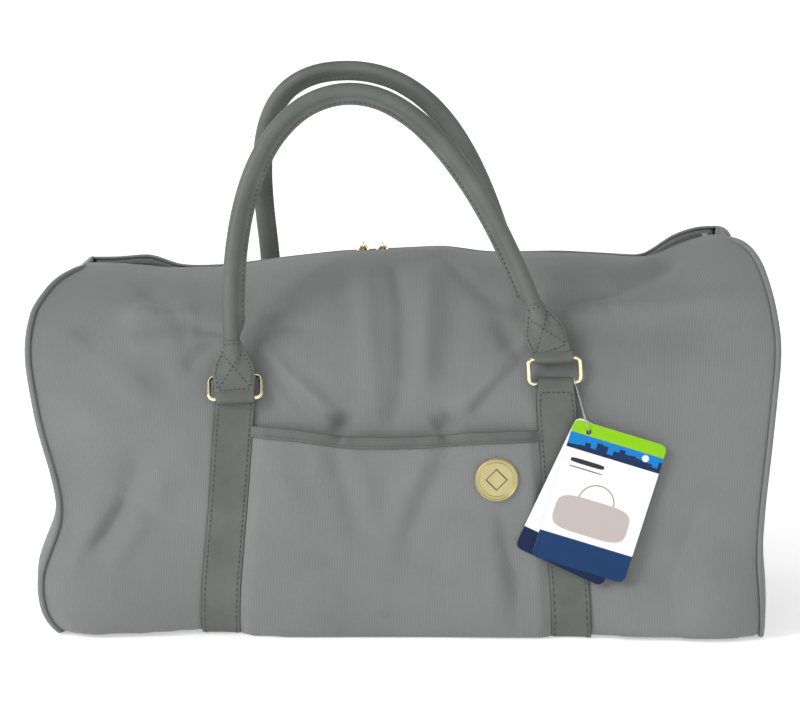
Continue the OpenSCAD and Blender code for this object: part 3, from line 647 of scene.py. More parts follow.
mouth_sag = [(-104, -5.5), (-70, -2.5), (-40, 2.0), (-10, 2.6), (20, 2.0), (60, -1.0), (104, -2.5)]
pocket_folds = [
    (-46, 148, -26, 78, 8, -2.6), (-34, 150, -16, 96, 9, 2.2), (42, 148, 4, 62, 9, -2.6),
    (28, 150, -4, 84, 9, 1.8), (-92, 140, -70, 96, 12, 1.8), (-86, 74, -40, 62, 8, -1.8),
    (92, 84, 60, 60, 9, -1.8), (-60, 146, -58, 120, 8, 1.6), (0, 70, 40, 56, 8, -1.4),
]


def on_pocket(across, down, lift):
    """A point of the pocket: across from -1 to 1 and down from 0 to 1, lifted off its cloth."""
    run = pocket_top_run + down * (pocket_foot_run - pocket_top_run)
    half = strap_centre(run) - 0.0125
    x = across * half
    run = run + smooth_between(mouth_sag, x) * (1 - ease(down, 0.0, 0.9))
    side = ease((1 - np.abs(across)) * half, 0.0, 0.012)
    foot = ease(1 - down, 0.0, 0.055)
    out = 0.0008 + (pocket_lift - 0.0008) * side * foot
    out = out + folds_at(pocket_folds, x, run) * (1 - hold(x, run)) * side * foot
    gape = 0.0014 * np.cos(across * math.pi / 2) * (1 - ease(down, 0.0, 0.3)) * (1 - hold(x, run))
    return on_bag(x, run, out + gape + lift)


bm = bmesh.new()
_, faces = grid(bm, lambda u, v: on_pocket(2 * u - 1, v, 0), 110, 60, (0.22, 0.105))
face_away(bm, faces)
pocket = object_from(bm, "front_pocket_cloth", canvas)
wall = pocket.modifiers.new("cloth", "SOLIDIFY")
wall.thickness = 0.0014
wall.offset = -1
finish_piece(pocket, "bag", ["front_pocket"])

grain, grain_in, grain_out = new_group(
    "leather_grain",
    [("Dark", "NodeSocketColor", (0, 0, 0, 1)), ("Light", "NodeSocketColor", (1, 1, 1, 1)),
     ("Scale", FLOAT, 900.0)],
    [("Color", "NodeSocketColor"), ("Roughness", FLOAT), ("Height", FLOAT)],
)
at = node(grain, "ShaderNodeTexCoord").outputs["Object"]
pebble = node(grain, "ShaderNodeTexVoronoi", {
    "Vector": at, "Scale": grain_in.outputs["Scale"],
}, feature="SMOOTH_F1")
pores = node(grain, "ShaderNodeTexNoise", {"Vector": at, "Scale": 2600.0, "Detail": 2.0})
rub = node(grain, "ShaderNodeTexNoise", {"Vector": at, "Scale": 28.0, "Detail": 5.0, "Roughness": 0.6})
rubbed = node(grain, "ShaderNodeMapRange", {"Value": rub.outputs["Fac"], "From Min": 0.3, "From Max": 0.75})
tinted = node(grain, "ShaderNodeMix", {
    0: rubbed.outputs[0], 6: grain_in.outputs["Dark"], 7: grain_in.outputs["Light"],
}, data_type="RGBA")
grain.links.new(tinted.outputs[2], grain_out.inputs["Color"])
satin = node(grain, "ShaderNodeMapRange", {"Value": rubbed.outputs[0], "To Min": 0.46, "To Max": 0.6})
grain.links.new(satin.outputs[0], grain_out.inputs["Roughness"])
pored = math_node(grain, "MULTIPLY", pores.outputs["Fac"], 0.3)
surface = math_node(grain, "ADD", pebble.outputs["Distance"], pored)
grain.links.new(surface, grain_out.inputs["Height"])


def leather_material(name, dark, light, half_width=None):
    """Satin leather; a flat strip's cut edges are painted dark, read from its UV map."""
    material, tree, sockets = shader(name)
    hide = grouped(tree, grain, {"Dark": dark, "Light": light})
    colour = hide["Color"]
    if half_width:
        flat = node(tree, "ShaderNodeUVMap", uv_map="UVMap").outputs[0]
        across = math_node(tree, "ABSOLUTE", node(tree, "ShaderNodeSeparateXYZ", {0: flat}).outputs[0])
        edge = node(tree, "ShaderNodeMapRange", {
            "Value": across, "From Min": half_width - 0.0009, "From Max": half_width - 0.0003,
        })
        painted = node(tree, "ShaderNodeMix", {
            0: edge.outputs[0], 6: colour, 7: (0.04, 0.043, 0.041, 1),
        }, data_type="RGBA")
        colour = painted.outputs[2]
    tree.links.new(colour, sockets["Base Color"])
    tree.links.new(hide["Roughness"], sockets["Roughness"])
    sockets["Specular IOR Level"].default_value = 0.32
    bump = node(tree, "ShaderNodeBump", {"Height": hide["Height"], "Strength": 0.28, "Distance": 0.00018})
    tree.links.new(bump.outputs[0], sockets["Normal"])
    return material


hide_dark = (0.080, 0.089, 0.080, 1)
hide_light = (0.122, 0.133, 0.120, 1)
leather = leather_material("satin_leather", hide_dark, hide_light)
strip_leather = leather_material("edged_leather", hide_dark, hide_light, 0.015)

thread = flecked("waxed_thread", 3200.0, 2.0, (0.012, 0.013, 0.012, 1), (0.075, 0.08, 0.075, 1), 0.6)


def band_section(turn, width, thick):
    """A flat strip's section with softly rounded edges: offsets across and up."""
    c, s = np.cos(turn), np.sin(turn)
    return np.sign(c) * np.abs(c) ** 0.3 * width / 2, np.sign(s) * np.abs(s) ** 0.45 * thick / 2


def repeated(bm, count, segments=6, rings=4):
    """Makes one small sphere and copies it until there are enough; returns each copy's vertices."""
    first = bmesh.ops.create_uvsphere(bm, u_segments=segments, v_segments=rings, radius=1)["verts"]
    copies = [list(first)]
    while len(copies) < count:
        taken = copies[:count - len(copies)]
        verts = [vert for copy in taken for vert in copy]
        edges = {edge for vert in verts for edge in vert.link_edges}
        faces = {face for vert in verts for face in vert.link_faces}
        twin = bmesh.ops.duplicate(bm, geom=verts + list(edges) + list(faces))["vert_map"]
        copies += [[twin[vert] for vert in copy] for copy in taken]
    return copies


def stitch(bm, line, pitch=0.0038, long=0.0026, wide=0.0011, high=0.0009):
    """Sews along a line of points with small spindles of thread, one each pitch."""
    line = np.asarray(line, float)
    steps = np.linalg.norm(np.diff(line, axis=0), axis=1)
    along = np.concatenate([[0], np.cumsum(steps)])
    count = max(1, int(along[-1] / pitch))
    at = (np.arange(count) + 0.5) * along[-1] / count
    points = np.stack([np.interp(at, along, line[:, k]) for k in range(3)], axis=1)
    after = np.stack([np.interp(at + 0.0005, along, line[:, k]) for k in range(3)], axis=1)
    before = np.stack([np.interp(at - 0.0005, along, line[:, k]) for k in range(3)], axis=1)
    shape = Matrix.Diagonal((long / 2, wide / 2, high / 2))
    for copy, point, way in zip(repeated(bm, count), points, after - before):
        turn = Vector((1, 0, 0)).rotation_difference(Vector(way)).to_matrix() @ shape
        for vert in copy:
            vert.co = turn @ vert.co + Vector(point)


def place_all(bm, place):
    """Moves every point of a bmesh through a function of its three flat coordinates."""
    points = np.array([v.co for v in bm.verts])
    for vert, point in zip(bm.verts, place(*points.T)):
        vert.co = point


trim_wide = 0.0085
trim_t = 0.002
trim_over = 0.0012
pocket_deep = pocket_foot_run - pocket_top_run
bm = bmesh.new()


def trim_place(u, v):
    across, up = band_section(2 * math.pi * v, trim_wide, trim_t + 0.0012)
    return on_pocket((2 * u - 1) * 0.99, (trim_wide / 2 - trim_over + across) / pocket_deep, up + 0.0002)


grid(bm, trim_place, 110, 20, (0.21, 0.02))
bmesh.ops.remove_doubles(bm, verts=bm.verts, dist=1e-6)
bmesh.ops.recalc_face_normals(bm, faces=bm.faces)
trim = object_from(bm, "pocket_mouth_strip", leather)
finish_piece(trim, "bag", ["pocket_trim"])
bm = bmesh.new()
down = (trim_wide - trim_over - 0.0021) / pocket_deep
stitch(bm, [(x, down, 0.0019) for x in np.linspace(-0.101, 0.101, 60)])
place_all(bm, lambda x, d, up: on_pocket(x / 0.104, d, up))
finish_piece(object_from(bm, "pocket_mouth_stitches", thread))

# ---- Badge ----
# A round plate of pale brushed brass is pronged through the pocket. It has a raised
# rim, one fine turned ring and a plain diamond inlaid in dark enamel.
gold_worn, worn_in, worn_out = new_group(
    "gold_wear",
    [("Fine", FLOAT, 900.0), ("Low", FLOAT, 0.12), ("High", FLOAT, 0.26),
     ("Dark", "NodeSocketColor", (0, 0, 0, 1)), ("Light", "NodeSocketColor", (1, 1, 1, 1))],
    [("Color", "NodeSocketColor"), ("Roughness", FLOAT), ("Height", FLOAT)],
)
at = node(gold_worn, "ShaderNodeTexCoord").outputs["Object"]
smear = node(gold_worn, "ShaderNodeTexNoise", {"Vector": at, "Scale": 60.0, "Detail": 4.0})
scratch = node(gold_worn, "ShaderNodeTexNoise", {
    "Vector": at, "Scale": worn_in.outputs["Fine"], "Detail": 3.0,
})
dull = math_node(gold_worn, "MULTIPLY", smear.outputs["Fac"], scratch.outputs["Fac"])
rough = node(gold_worn, "ShaderNodeMapRange", {
    "Value": dull, "From Min": 0.1, "From Max": 0.45,
    "To Min": worn_in.outputs["Low"], "To Max": worn_in.outputs["High"],
})
gold_worn.links.new(rough.outputs[0], worn_out.inputs["Roughness"])
plate = node(gold_worn, "ShaderNodeMix", {
    0: smear.outputs["Fac"], 6: worn_in.outputs["Dark"], 7: worn_in.outputs["Light"],
}, data_type="RGBA")
gold_worn.links.new(plate.outputs[2], worn_out.inputs["Color"])
gold_worn.links.new(scratch.outputs["Fac"], worn_out.inputs["Height"])


def gold_material(name, low, high, fine=900.0, dark=(0.80, 0.69, 0.40, 1), light=(0.92, 0.84, 0.60, 1)):
    """Pale gold plate, polished or brushed, with smears and fine scratches in its gloss."""
    material, tree, sockets = shader(name)
    wear = grouped(tree, gold_worn, {"Low": low, "High": high, "Fine": fine, "Dark": dark, "Light": light})
    tree.links.new(wear["Color"], sockets["Base Color"])
    tree.links.new(wear["Roughness"], sockets["Roughness"])
    sockets["Metallic"].default_value = 1
    bump = node(tree, "ShaderNodeBump", {"Height": wear["Height"], "Strength": 0.05, "Distance": 0.0001})
    tree.links.new(bump.outputs[0], sockets["Normal"])
    return material


def refinish(material, *nodes):
    """Gives CAD nodes a finish of their own."""
    for name in nodes:
        for slot in bpy.data.objects[name].material_slots:
            slot.material = material


polished_gold = gold_material("polished_gold", 0.10, 0.24)
brushed_gold = gold_material("brushed_gold", 0.30, 0.46, 1600.0, (0.40, 0.35, 0.16, 1), (0.58, 0.52, 0.27, 1))
refinish(brushed_gold, "badge")
refinish(polished_gold, "badge_washer")
badge_low, badge_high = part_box("badge")
badge_mid = (badge_low + badge_high) / 2
inlay_deep = 0.0005


def turned_wire(bm, ring_r, wire, steps):
    """Spins a small round wire into a ring: four steps make a diamond."""
    place = Matrix.Translation((ring_r, 0, 0)) @ Matrix.Rotation(math.pi / 2, 4, "X")
    wire_end = bmesh.ops.create_circle(bm, segments=8, radius=wire, matrix=place)["verts"]
    hoop = list({edge for vert in wire_end for edge in vert.link_edges})
    bmesh.ops.spin(
        bm, geom=wire_end + hoop, axis=(0, 0, 1), cent=(0, 0, 0),
        angle=2 * math.pi, steps=steps, use_merge=True,
    )


def stand_on_badge(bm, deep):
    """Turns flat rings upright and sets them on the badge's face."""
    bmesh.ops.recalc_face_normals(bm, faces=bm.faces)
    face = Matrix.Translation((badge_mid.x, badge_low.y + deep, badge_mid.z))
    bmesh.ops.transform(bm, verts=bm.verts, matrix=face @ Matrix.Rotation(math.pi / 2, 4, "X"))


bm = bmesh.new()
for ring_r, wire in ((0.0152, 0.0006), (0.0128, 0.0003)):
    turned_wire(bm, ring_r, wire, 64)
stand_on_badge(bm, 0.0)
finish_piece(object_from(bm, "badge_rings", brushed_gold))
enamel = flecked("dark_enamel", 800.0, 2.0, (0.012, 0.012, 0.012, 1), (0.03, 0.03, 0.028, 1), 0.3)
bm = bmesh.new()
turned_wire(bm, 0.0078, 0.0006, 4)
stand_on_badge(bm, inlay_deep)
finish_piece(object_from(bm, "badge_diamond", enamel, smooth=False))

# ---- Straps ----
# Two leather straps wrap the bag from the front rings, under the bottom and up to the
# back rings. Each turns round its ring's bar and is sewn down along both edges.
strap_w = 0.03
strap_t = 0.0022
sewn_down = (0.062, 0.938)
loop_lift = 0.0051
left_bar = (0.136523, 0.054771)
other_bars = (0.138316, 0.05007)
back_loop = math.atan2(*other_bars) * radius
front_loops = {-1: math.atan2(*left_bar) * radius, 1: back_loop}
turnover = [
    (24, -4.7), (10, -3.9), (0, -3.8), (-2.7, -2.7), (-3.8, 0), (-2.7, 2.7), (0, 3.8),
    (5, 3.5), (10, 1.9), (16, -0.4), (23, -2.1), (32, -3.2), (44, -3.9),
]


def strap_line(side):
    """The strap's middle line as (run, lift), from its front turnover to its back one."""
    start = [(front_loops[side] + a / 1000, loop_lift + b / 1000) for a, b in turnover]
    end = [(2 * half_run - back_loop - a / 1000, loop_lift + b / 1000) for a, b in reversed(turnover)]
    line = np.array(start + end)
    along = np.concatenate([[0], np.cumsum(np.hypot(*np.diff(line, axis=0).T))])
    return along, line


def on_strap(side, share, across, up):
    """A point of a strap: share along it, and offsets across it and off its middle surface."""
    along, line = strap_line(side)
    at = share * along[-1]
    spread = 0.0011 * np.array([-1, 0, 1])
    run = sum(np.interp(at + d, along, line[:, 0]) for d in spread) / 3
    lift = sum(np.interp(at + d, along, line[:, 1]) for d in spread) / 3
    step = 0.0008
    run_way = np.interp(at + step, along, line[:, 0]) - np.interp(at - step, along, line[:, 0])
    lift_way = np.interp(at + step, along, line[:, 1]) - np.interp(at - step, along, line[:, 1])
    size = np.hypot(run_way, lift_way) + 1e-9
    run = run - up * lift_way / size
    lift = lift + up * run_way / size
    wrapped = (run + half_run) % (2 * half_run) - half_run
    near = np.minimum(at, along[-1] - at)
    narrow = 1 - 0.12 * (1 - ease(near, 0.03, 0.055))
    return on_bag(side * strap_centre(wrapped) + across * narrow, run, lift)


for side, word in ((-1, "left"), (1, "right")):
    length = strap_line(side)[0][-1]
    bm = bmesh.new()

    def strap_place(u, v):
        across, up = band_section(2 * math.pi * v, strap_w, strap_t)
        bend = 0.5 - 0.5 * np.cos(math.pi * u)
        return on_strap(side, 0.35 * bend + 0.65 * u, across, up)

    _, faces = grid(bm, strap_place, 300, 24, (length, 1))
    flat = bm.loops.layers.uv.verify()
    for face in faces:
        for loop in face.loops:
            turn = 2 * math.pi * loop[flat].uv.y
            across, _ = band_section(np.array(turn), strap_w, strap_t)
            loop[flat].uv = (float(across), loop[flat].uv.x)
    bmesh.ops.remove_doubles(bm, verts=bm.verts, dist=1e-6)
    bmesh.ops.recalc_face_normals(bm, faces=bm.faces)
    strap = object_from(bm, f"strap_{word}_leather", strip_leather)
    finish_piece(strap, "bag", [f"strap_{word}"])
    bm = bmesh.new()
    inset = strap_w / 2 - 0.003
    for across in (-inset, inset):
        stitch(bm, [(t * length, across, strap_t / 2) for t in np.linspace(*sewn_down, 300)])
    for share in sewn_down:
        stitch(bm, [(share * length, a, strap_t / 2) for a in (-inset, inset)])
    place_all(bm, lambda t, a, up: on_strap(side, t / length, a, up))
    finish_piece(object_from(bm, f"strap_{word}_stitches", thread))

# ---- Rings ----
# Four rectangular rings of pale polished gold wire join the straps to the handle tabs.
refinish(polished_gold, "ring_front_left", "ring_front_right", "ring_back_left", "ring_back_right")

# ---- Handles and tabs ----
# Each handle is a cord rolled in leather, with the two edges sewn together as a narrow
# fin on the inside of the bow. Its ends are flattened into shield-shaped tabs that
# turn round the rings' bars and are sewn across, along and crosswise.
handle_r = 0.006
fin = 0.0048
fin_t = 0.0026
tab_reach = 0.043
front_plane = (
    Matrix.Translation((0, -0.142534, 0.187833)) @ Matrix.Rotation(math.radians(2.03117), 4, "Z")
    @ Matrix.Rotation(math.radians(-2.5221), 4, "Y") @ Matrix.Rotation(math.radians(-9), 4, "X")
)
back_plane = Matrix.Translation((0, 0.138316, 0.19307)) @ Matrix.Rotation(math.radians(9), 4, "X")
right_heading = math.radians(107.5)
bows = {
    "front": (front_plane, 0.0, math.radians(91), (-0.025, 0.226), (0.52, 0.25, 0.27, 0.34)),
    "back": (back_plane, 0.0183, math.radians(81), (-0.042, 0.245), (0.17, 0.46, 0.38, 0.34)),
}
right_v = 0.0183


def ray(heading):
    """A unit step in the bow's plane."""
    return np.array([math.cos(heading), math.sin(heading)])


def bow_line(left_v, left_heading, crown, pull):
    """The handle's middle line in its own plane, from the left tab over the crown to the right tab."""
    crown = np.array(crown)
    rise = crown[1]
    start = np.array([-strap_half, left_v]) + tab_reach * ray(left_heading)
    end = np.array([strap_half, right_v]) + tab_reach * ray(right_heading)
    left = [start, start + pull[0] * rise * ray(left_heading), crown - (pull[1] * rise, 0), crown]
    right = [crown, crown + (pull[2] * rise, 0), end + pull[3] * rise * ray(right_heading), end]
    line = []
    for p in (left, right):
        t = np.linspace(0, 1, 90)[:, None]
        line.append(
            (1 - t) ** 3 * p[0] + 3 * (1 - t) ** 2 * t * p[1] + 3 * (1 - t) * t * t * p[2] + t ** 3 * p[3]
        )
    line = np.concatenate([line[0], line[1][1:]])
    along = np.concatenate([[0], np.cumsum(np.hypot(*np.diff(line, axis=0).T))])
    return along, line


def on_bow(bow, at, inward, aside):
    """A point at a length along the bow, offset to its inner side and out of its plane."""
    along, line = bow
    u = np.interp(at, along, line[:, 0])
    v = np.interp(at, along, line[:, 1])
    du = np.interp(at + 0.002, along, line[:, 0]) - np.interp(at - 0.002, along, line[:, 0])
    dv = np.interp(at + 0.002, along, line[:, 1]) - np.interp(at - 0.002, along, line[:, 1])
    size = np.hypot(du, dv) + 1e-9
    return np.stack([u + inward * dv / size, aside + 0 * u, v - inward * du / size], axis=-1)


def keyhole(turn, fin_now):
    """The rolled leather's section: round, with the fin drawn out on one side."""
    half = fin_t / 2
    inward = handle_r * np.cos(turn)
    aside = handle_r * np.sin(turn)
    in_fin = ease(np.cos(turn), 0.84, 0.93)
    tip = ease(np.cos(turn), 0.9, 1.0)
    inward = inward + in_fin * fin_now * (0.25 + 0.75 * tip)
    pressed = in_fin * np.sign(aside) * half * (1 - tip ** 5)
    aside = np.where(in_fin > 0, aside * (1 - in_fin) + pressed, aside)
    return inward, aside


leaf_half = [14.4, 14.5, 14.8, 15.4, 15.9, 14.6, 11.6, 8.8, 7.4, 6.9, 5.6]


def leaf_width(s):
    """Half width of a tab at a distance from its ring's bar."""
    return np.interp(s * 1000, [2, 4, 7, 12, 20, 26, 32, 37, 41, 43, 44], leaf_half) / 1000


def leaf_rise(a, s):
    """Height of a tab's face above its middle: a flat leaf with the roll's end running down into it."""
    flat = 0.0021 * (1 - np.clip(np.abs(a) / leaf_width(s), 0, 1) ** 6) ** (1 / 6)
    roll_half = 0.0066 * ease(s, 0.010, 0.027)
    roll_high = 0.0066 * ease(s, 0.006, 0.036) * (1 - 0.4 * ease(s, 0.0425, 0.044))
    roll = roll_high * np.sqrt(np.clip(1 - (a / (roll_half + 1e-6)) ** 2, 0, 1))
    skirt = 0.35 * roll_high * np.clip(1 - np.abs(a) / leaf_width(s), 0, 1) ** 2
    return np.maximum(flat + skirt, roll)


tab_rows = [
    [(-12, 6.5), (12, 6.5)], [(-6.2, 40), (6.2, 40)], [(-12, 7.5), (7.0, 33)], [(12, 7.5), (-7.0, 33)],
    [(-12.6, 7.5), (-13.4, 19), (-12.2, 25), (-9.6, 30), (-6.6, 36)],
    [(12.6, 7.5), (13.4, 19), (12.2, 25), (9.6, 30), (6.6, 36)],
]
for word, (plane, left_v, left_heading, crown, pull) in bows.items():
    body = f"{word}_handle"
    bow = bow_line(left_v, left_heading, crown, pull)
    length = bow[0][-1]
    bm = bmesh.new()

    def roll_place(u, v):
        at = -0.004 + u * (length + 0.008)
        fin_now = fin * ease(at, 0.0, 0.016) * (1 - ease(at, length - 0.016, length))
        wander = 0.00025 * np.sin(at * 190) + 0.0002 * np.sin(at * 77 + 1)
        inward, aside = keyhole(2 * math.pi * v, fin_now)
        return on_bow(bow, at, inward, aside * (1 + 8 * wander / handle_r * 0.1) + wander)

    grid(bm, roll_place, 220, 40, (length, 0.05))
    bmesh.ops.remove_doubles(bm, verts=bm.verts, dist=1e-6)
    bmesh.ops.recalc_face_normals(bm, faces=bm.faces)
    bmesh.ops.transform(bm, matrix=plane, verts=bm.verts)
    finish_piece(object_from(bm, f"handle_{word}_leather", leather), body, [f"handle_{word}"])

    bm = bmesh.new()
    for face_side in (-1, 1):
        places = np.linspace(0.008, length - 0.008, 400)
        stitch(bm, on_bow(bow, places, handle_r + 0.6 * fin, face_side * (fin_t / 2 + 0.0001)))
    bmesh.ops.transform(bm, matrix=plane, verts=bm.verts)
    finish_piece(object_from(bm, f"handle_{word}_stitches", thread), body)

    tab_ends = ((-1, "left", left_heading, left_v), (1, "right", right_heading, right_v))
    for side, side_word, heading, loop_v in tab_ends:
        d = ray(heading)
        bar = np.array([side * strap_half, loop_v])

        def on_tab(a, s, rise):
            return np.stack([
                bar[0] + s * d[0] + a * d[1], rise + 0 * a, bar[1] + s * d[1] - a * d[0],
            ], axis=-1)

        bm = bmesh.new()

        def leaf_place(u, v):
            s = 0.002 + 0.042 * u
            turn = 2 * math.pi * v
            a = np.cos(turn) * leaf_width(s)
            return on_tab(a, s, np.sign(np.sin(turn)) * leaf_rise(a, s))

        _, faces = grid(bm, leaf_place, 60, 56, (0.05, 0.06))
        bmesh.ops.remove_doubles(bm, verts=bm.verts, dist=1e-6)
        rims = [edge for edge in bm.edges if edge.is_boundary]
        bmesh.ops.holes_fill(bm, edges=rims, sides=0)

        def loop_place(u, v):
            across, up = band_section(2 * math.pi * v, 0.029, 0.002)
            turn = 2 * math.pi * u
            r = 0.0031 + up
            drop = 0.002 * ease(np.cos(turn), 0.4, 1.0)
            return np.stack([bar[0] + across, r * np.sin(turn), bar[1] + r * np.cos(turn) + drop], axis=-1)

        made, _ = grid(bm, loop_place, 28, 20, (0.029, 0.02))
        bmesh.ops.remove_doubles(bm, verts=made, dist=1e-6)
        bmesh.ops.recalc_face_normals(bm, faces=bm.faces)
        bmesh.ops.transform(bm, matrix=plane, verts=bm.verts)
        tab = object_from(bm, f"tab_{word}_{side_word}_leather", leather)
        finish_piece(tab, body, [f"tab_{word}_{side_word}"])

        bm = bmesh.new()
        for row in tab_rows:
            at_row = np.array(row) / 1000
            steps = np.concatenate([[0], np.cumsum(np.hypot(*np.diff(at_row, axis=0).T))])
            fine = np.linspace(0, steps[-1], 30)
            a = np.interp(fine, steps, at_row[:, 0])
            s = np.interp(fine, steps, at_row[:, 1])
            for face_side in (-1, 1):
                stitch(bm, on_tab(a, s, face_side * (leaf_rise(a, s) + 0.00005)), 0.0033, 0.0023)
        bmesh.ops.transform(bm, matrix=plane, verts=bm.verts)
        finish_piece(object_from(bm, f"tab_{word}_{side_word}_stitches", thread), body)

cotton = flecked("cotton_cord", 900.0, 3.0, (0.42, 0.39, 0.31, 1), (0.72, 0.68, 0.58, 1), 0.95)
refinish(cotton, "handle_front_core", "handle_back_core")

# ---- Zip ----
# A nylon coil zip runs along the ridge on woven tapes, sewn under the folded canvas
# edges. Two sliders meet near the middle, each with an arched bail and a pull.
coil_black = flecked("nylon_coil", 700.0, 2.0, (0.012, 0.013, 0.014, 1), (0.04, 0.041, 0.043, 1), 0.38)
tape_cloth = plain_weave(
    "woven_tape", 0.0008, (0.10, 0.108, 0.105, 1), (0.16, 0.168, 0.165, 1), 20.0, 0.9
)
tape_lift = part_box("zip_tape_front")[1].z - ridge
teeth_low, teeth_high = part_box("zip_teeth_front")
coil_lift = (teeth_low.z + teeth_high.z) / 2 - ridge - 0.0006
for side, word in ((1, "front"), (-1, "back")):
    tape = panel(
        f"zip_tape_{word}_cloth", side * 0.0006, side * (edge_run + 0.006), 130, 4, seam_x - 0.003,
        tape_lift, 0.0008, tape_cloth,
    )
    finish_piece(tape, "bag", [f"zip_tape_{word}"])
    bm = bmesh.new()
    turns = np.arange(-0.258, 0.258, 0.0016)
    shape = Matrix.Diagonal((0.00052, 0.0016, 0.0011))
    for copy, x in zip(repeated(bm, len(turns)), turns):
        for vert in copy:
            vert.co = shape @ vert.co + Vector((x + 0.0004 * side, side * 0.0017, coil_lift))
    place_all(bm, lambda x, run, lift: on_bag(x, run, lift))
    finish_piece(object_from(bm, f"zip_coil_{word}", coil_black), "bag", [f"zip_teeth_{word}"])
    bm = bmesh.new()
    seam = edge_run + 0.0035
    stitch(bm, [(x, side * seam, -0.0004) for x in np.linspace(-0.266, 0.266, 200)])
    place_all(bm, lambda x, run, lift: on_bag(x, run, lift))
    finish_piece(object_from(bm, f"zip_edge_{word}_stitches", thread))
bm = bmesh.new()
for side in (-1, 1):
    block = bmesh.ops.create_cube(bm, size=1)["verts"]
    bmesh.ops.scale(bm, verts=block, vec=(0.005, 0.0052, 0.0016))
    bmesh.ops.translate(bm, verts=block, vec=(side * 0.262, 0, coil_lift))
bmesh.ops.bevel(bm, geom=bm.edges[:], offset=0.0006, affect="EDGES", segments=2, profile=0.5, material=-1)
place_all(bm, lambda x, run, lift: on_bag(x, run, lift))
finish_piece(object_from(bm, "zip_end_stops", polished_gold), "bag", ["zip_stops"])
refinish(polished_gold, "slider_left", "slider_right", "pull_left", "pull_right")

# ---- End rings, feet and washers ----
# A small gold D-ring hangs from a leather tab on each end, and four domed gold feet
# stand under the bottom.
refinish(leather, "end_tab_left", "end_tab_right")
refinish(polished_gold, "dring_left", "dring_right", "feet", "foot_washers")

# ---- Hang tag ----
# Two printed cards hang on a clear loop from the right ring. The print is plain bands
# of colour with simple blocks and a disc, and carries no lettering.
hole = np.array([0.1432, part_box("tag_card_front")[0].y, 0.1577])
card_top = 0.007
card_foot = -0.101
skyline_foot = -0.0118
print_bands = [
    (card_foot, (0.0, 0.030, 0.11, 1)), (-0.080, (0.80, 0.80, 0.82, 1)), (-0.0146, (0.0, 0.015, 0.07, 1)),
    (skyline_foot, (0.0, 0.17, 0.50, 1)), (-0.003, (0.22, 0.50, 0.0, 1)),
]


def rounded_box(tree, across, up, middle, half):
    """A mask that is 1 inside a box with round corners."""
    reach = [
        math_node(tree, "POWER", math_node(
            tree, "ABSOLUTE", math_node(tree, "MULTIPLY", math_node(tree, "SUBTRACT", way, mid), 1 / size),
        ), 4.0)
        for way, mid, size in zip((across, up), middle, half)
    ]
    return math_node(tree, "LESS_THAN", math_node(tree, "ADD", reach[0], reach[1]), 1.0)


def card_print(name, bands=(), pattern=False):
    """Satin card, with bands of colour, and perhaps a row of blocks and a disc, on its UV map."""
    material, tree, sockets = shader(name)
    flat = node(tree, "ShaderNodeUVMap", uv_map="UVMap").outputs[0]
    across, up = node(tree, "ShaderNodeSeparateXYZ", {0: flat}).outputs[:2]
    fleck = node(tree, "ShaderNodeTexNoise", {"Vector": flat, "Scale": 900.0, "Detail": 2.0})
    colour = node(tree, "ShaderNodeMix", {
        0: fleck.outputs["Fac"], 6: (0.80, 0.80, 0.82, 1), 7: (0.88, 0.88, 0.89, 1),
    }, data_type="RGBA").outputs[2]
    if bands:
        share = node(tree, "ShaderNodeMapRange", {"Value": up, "From Min": card_foot, "From Max": card_top})
        ramp = node(tree, "ShaderNodeValToRGB", {0: share.outputs[0]})
        ramp.color_ramp.interpolation = "CONSTANT"
        stops = ramp.color_ramp.elements
        stops.remove(stops[1])
        stops[0].color = bands[0][1]
        for height, tint in bands[1:]:
            stops.new((height - card_foot) / (card_top - card_foot)).color = tint
        colour = ramp.outputs[0]
    if pattern:
        column = math_node(tree, "FLOOR", math_node(tree, "MULTIPLY", across, 230.0))
        roof = node(tree, "ShaderNodeTexWhiteNoise", {"W": column}, noise_dimensions="1D").outputs[0]
        roof = math_node(tree, "ADD", math_node(tree, "MULTIPLY", roof, 0.007), skyline_foot)
        towers = math_node(tree, "MULTIPLY", math_node(tree, "LESS_THAN", up, roof),
                           math_node(tree, "GREATER_THAN", up, skyline_foot))
        sun = node(tree, "ShaderNodeVectorMath", {0: flat, 1: (0.046, -0.0065, 0.0)}, operation="DISTANCE")
        bow = node(tree, "ShaderNodeVectorMath", {0: flat, 1: (0.021, -0.0495, 0.0)}, operation="DISTANCE")
        bow_gap = math_node(tree, "ABSOLUTE", math_node(tree, "SUBTRACT", bow.outputs[1], 0.0135))
        bow_line = math_node(tree, "MULTIPLY", math_node(tree, "LESS_THAN", bow_gap, 0.0005),
                             math_node(tree, "GREATER_THAN", up, -0.050))
        masks = [
            (towers, (0.0, 0.020, 0.085, 1)),
            (math_node(tree, "LESS_THAN", sun.outputs[1], 0.0026), (0.72, 0.78, 0.82, 1)),
            (bow_line, (0.30, 0.25, 0.22, 1)),
            (rounded_box(tree, across, up, (0.021, -0.0615), (0.0285, 0.0135)), (0.46, 0.40, 0.385, 1)),
            (rounded_box(tree, across, up, (0.006, -0.0225), (0.013, 0.0018)), (0.02, 0.022, 0.03, 1)),
            (rounded_box(tree, across, up, (0.006, -0.0275), (0.013, 0.0005)), (0.12, 0.12, 0.13, 1)),
        ]
        for mask, tint in masks:
            colour = node(tree, "ShaderNodeMix", {0: mask, 6: colour, 7: tint}, data_type="RGBA").outputs[2]
    tree.links.new(colour, sockets["Base Color"])
    gloss = node(tree, "ShaderNodeMapRange", {"Value": fleck.outputs["Fac"], "To Min": 0.32, "To Max": 0.42})
    tree.links.new(gloss.outputs[0], sockets["Roughness"])
    sockets["Specular IOR Level"].default_value = 0.25
    return material


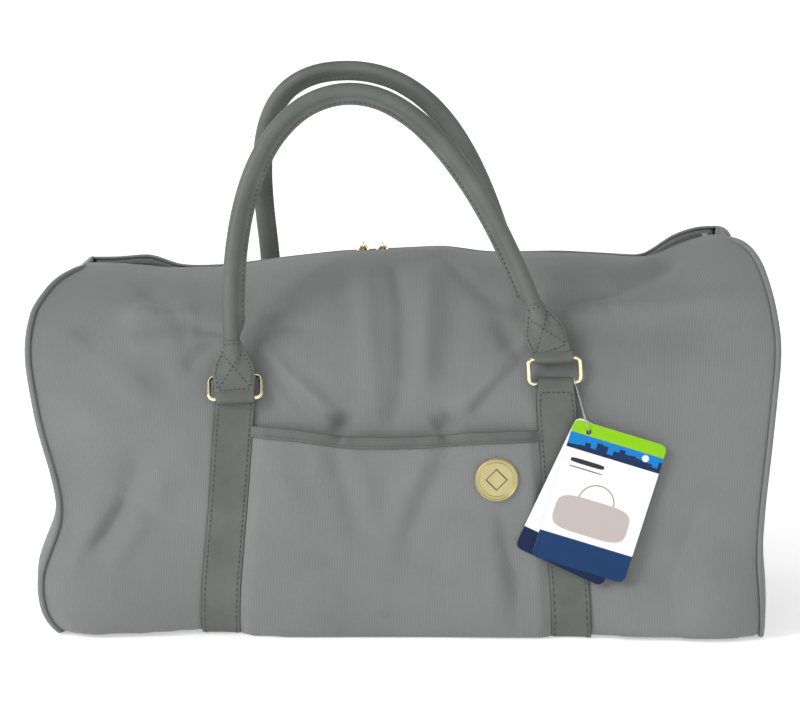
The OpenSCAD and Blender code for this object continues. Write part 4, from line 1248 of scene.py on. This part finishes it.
printed_card = card_print("printed_card", print_bands, True)
tipped_card = card_print("tipped_card", [(card_foot, (0.0, 0.008, 0.05, 1)), (-0.084, (0.80, 0.80, 0.82, 1))])
plain_card = card_print("plain_card")
for word, lean, material in (("front", 17, printed_card), ("back", 25, tipped_card)):
    low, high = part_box(f"tag_card_{word}")
    bm = bmesh.new()
    outline_verts = bmesh.ops.create_grid(bm, x_segments=1, y_segments=1, size=0.5)["verts"]
    bmesh.ops.scale(bm, verts=outline_verts, vec=(0.072, 0.108, 1))
    bmesh.ops.translate(bm, verts=outline_verts, vec=(0.023, -0.047, 0))
    bmesh.ops.bevel(
        bm, geom=bm.verts[:], offset=0.005, affect="VERTICES", segments=5, profile=0.5, material=-1
    )
    bmesh.ops.delete(bm, geom=bm.faces[:], context="FACES_ONLY")
    bmesh.ops.create_circle(bm, cap_ends=False, segments=24, radius=0.002)
    bmesh.ops.bridge_loops(bm, edges=bm.edges[:])
    bmesh.ops.recalc_face_normals(bm, faces=bm.faces)
    if sum(face.normal.z for face in bm.faces) < 0:
        bmesh.ops.reverse_faces(bm, faces=bm.faces)
    flat = bm.loops.layers.uv.verify()
    for face in bm.faces:
        for loop in face.loops:
            loop[flat].uv = loop.vert.co.xy
    turn = Matrix.Rotation(math.radians(lean), 4, "Y") @ Matrix.Rotation(math.pi / 2, 4, "X")
    bmesh.ops.transform(bm, verts=bm.verts, matrix=Matrix.Translation((hole[0], low.y, hole[2])) @ turn)
    card = object_from(bm, f"tag_{word}_print", material, plain_card, smooth=False)
    wall = card.modifiers.new("card", "SOLIDIFY")
    wall.thickness = 0.0004
    wall.offset = -1
    wall.material_offset_rim = 1
    wall.material_offset = 1
    finish_piece(card, "hang_tag", [f"tag_card_{word}"])
clear = flecked("clear_nylon", 500.0, 2.0, (0.75, 0.77, 0.76, 1), (0.9, 0.92, 0.91, 1), 0.25)
clear.node_tree.nodes["Principled BSDF"].inputs["Transmission Weight"].default_value = 0.85
refinish(clear, "tag_loop")
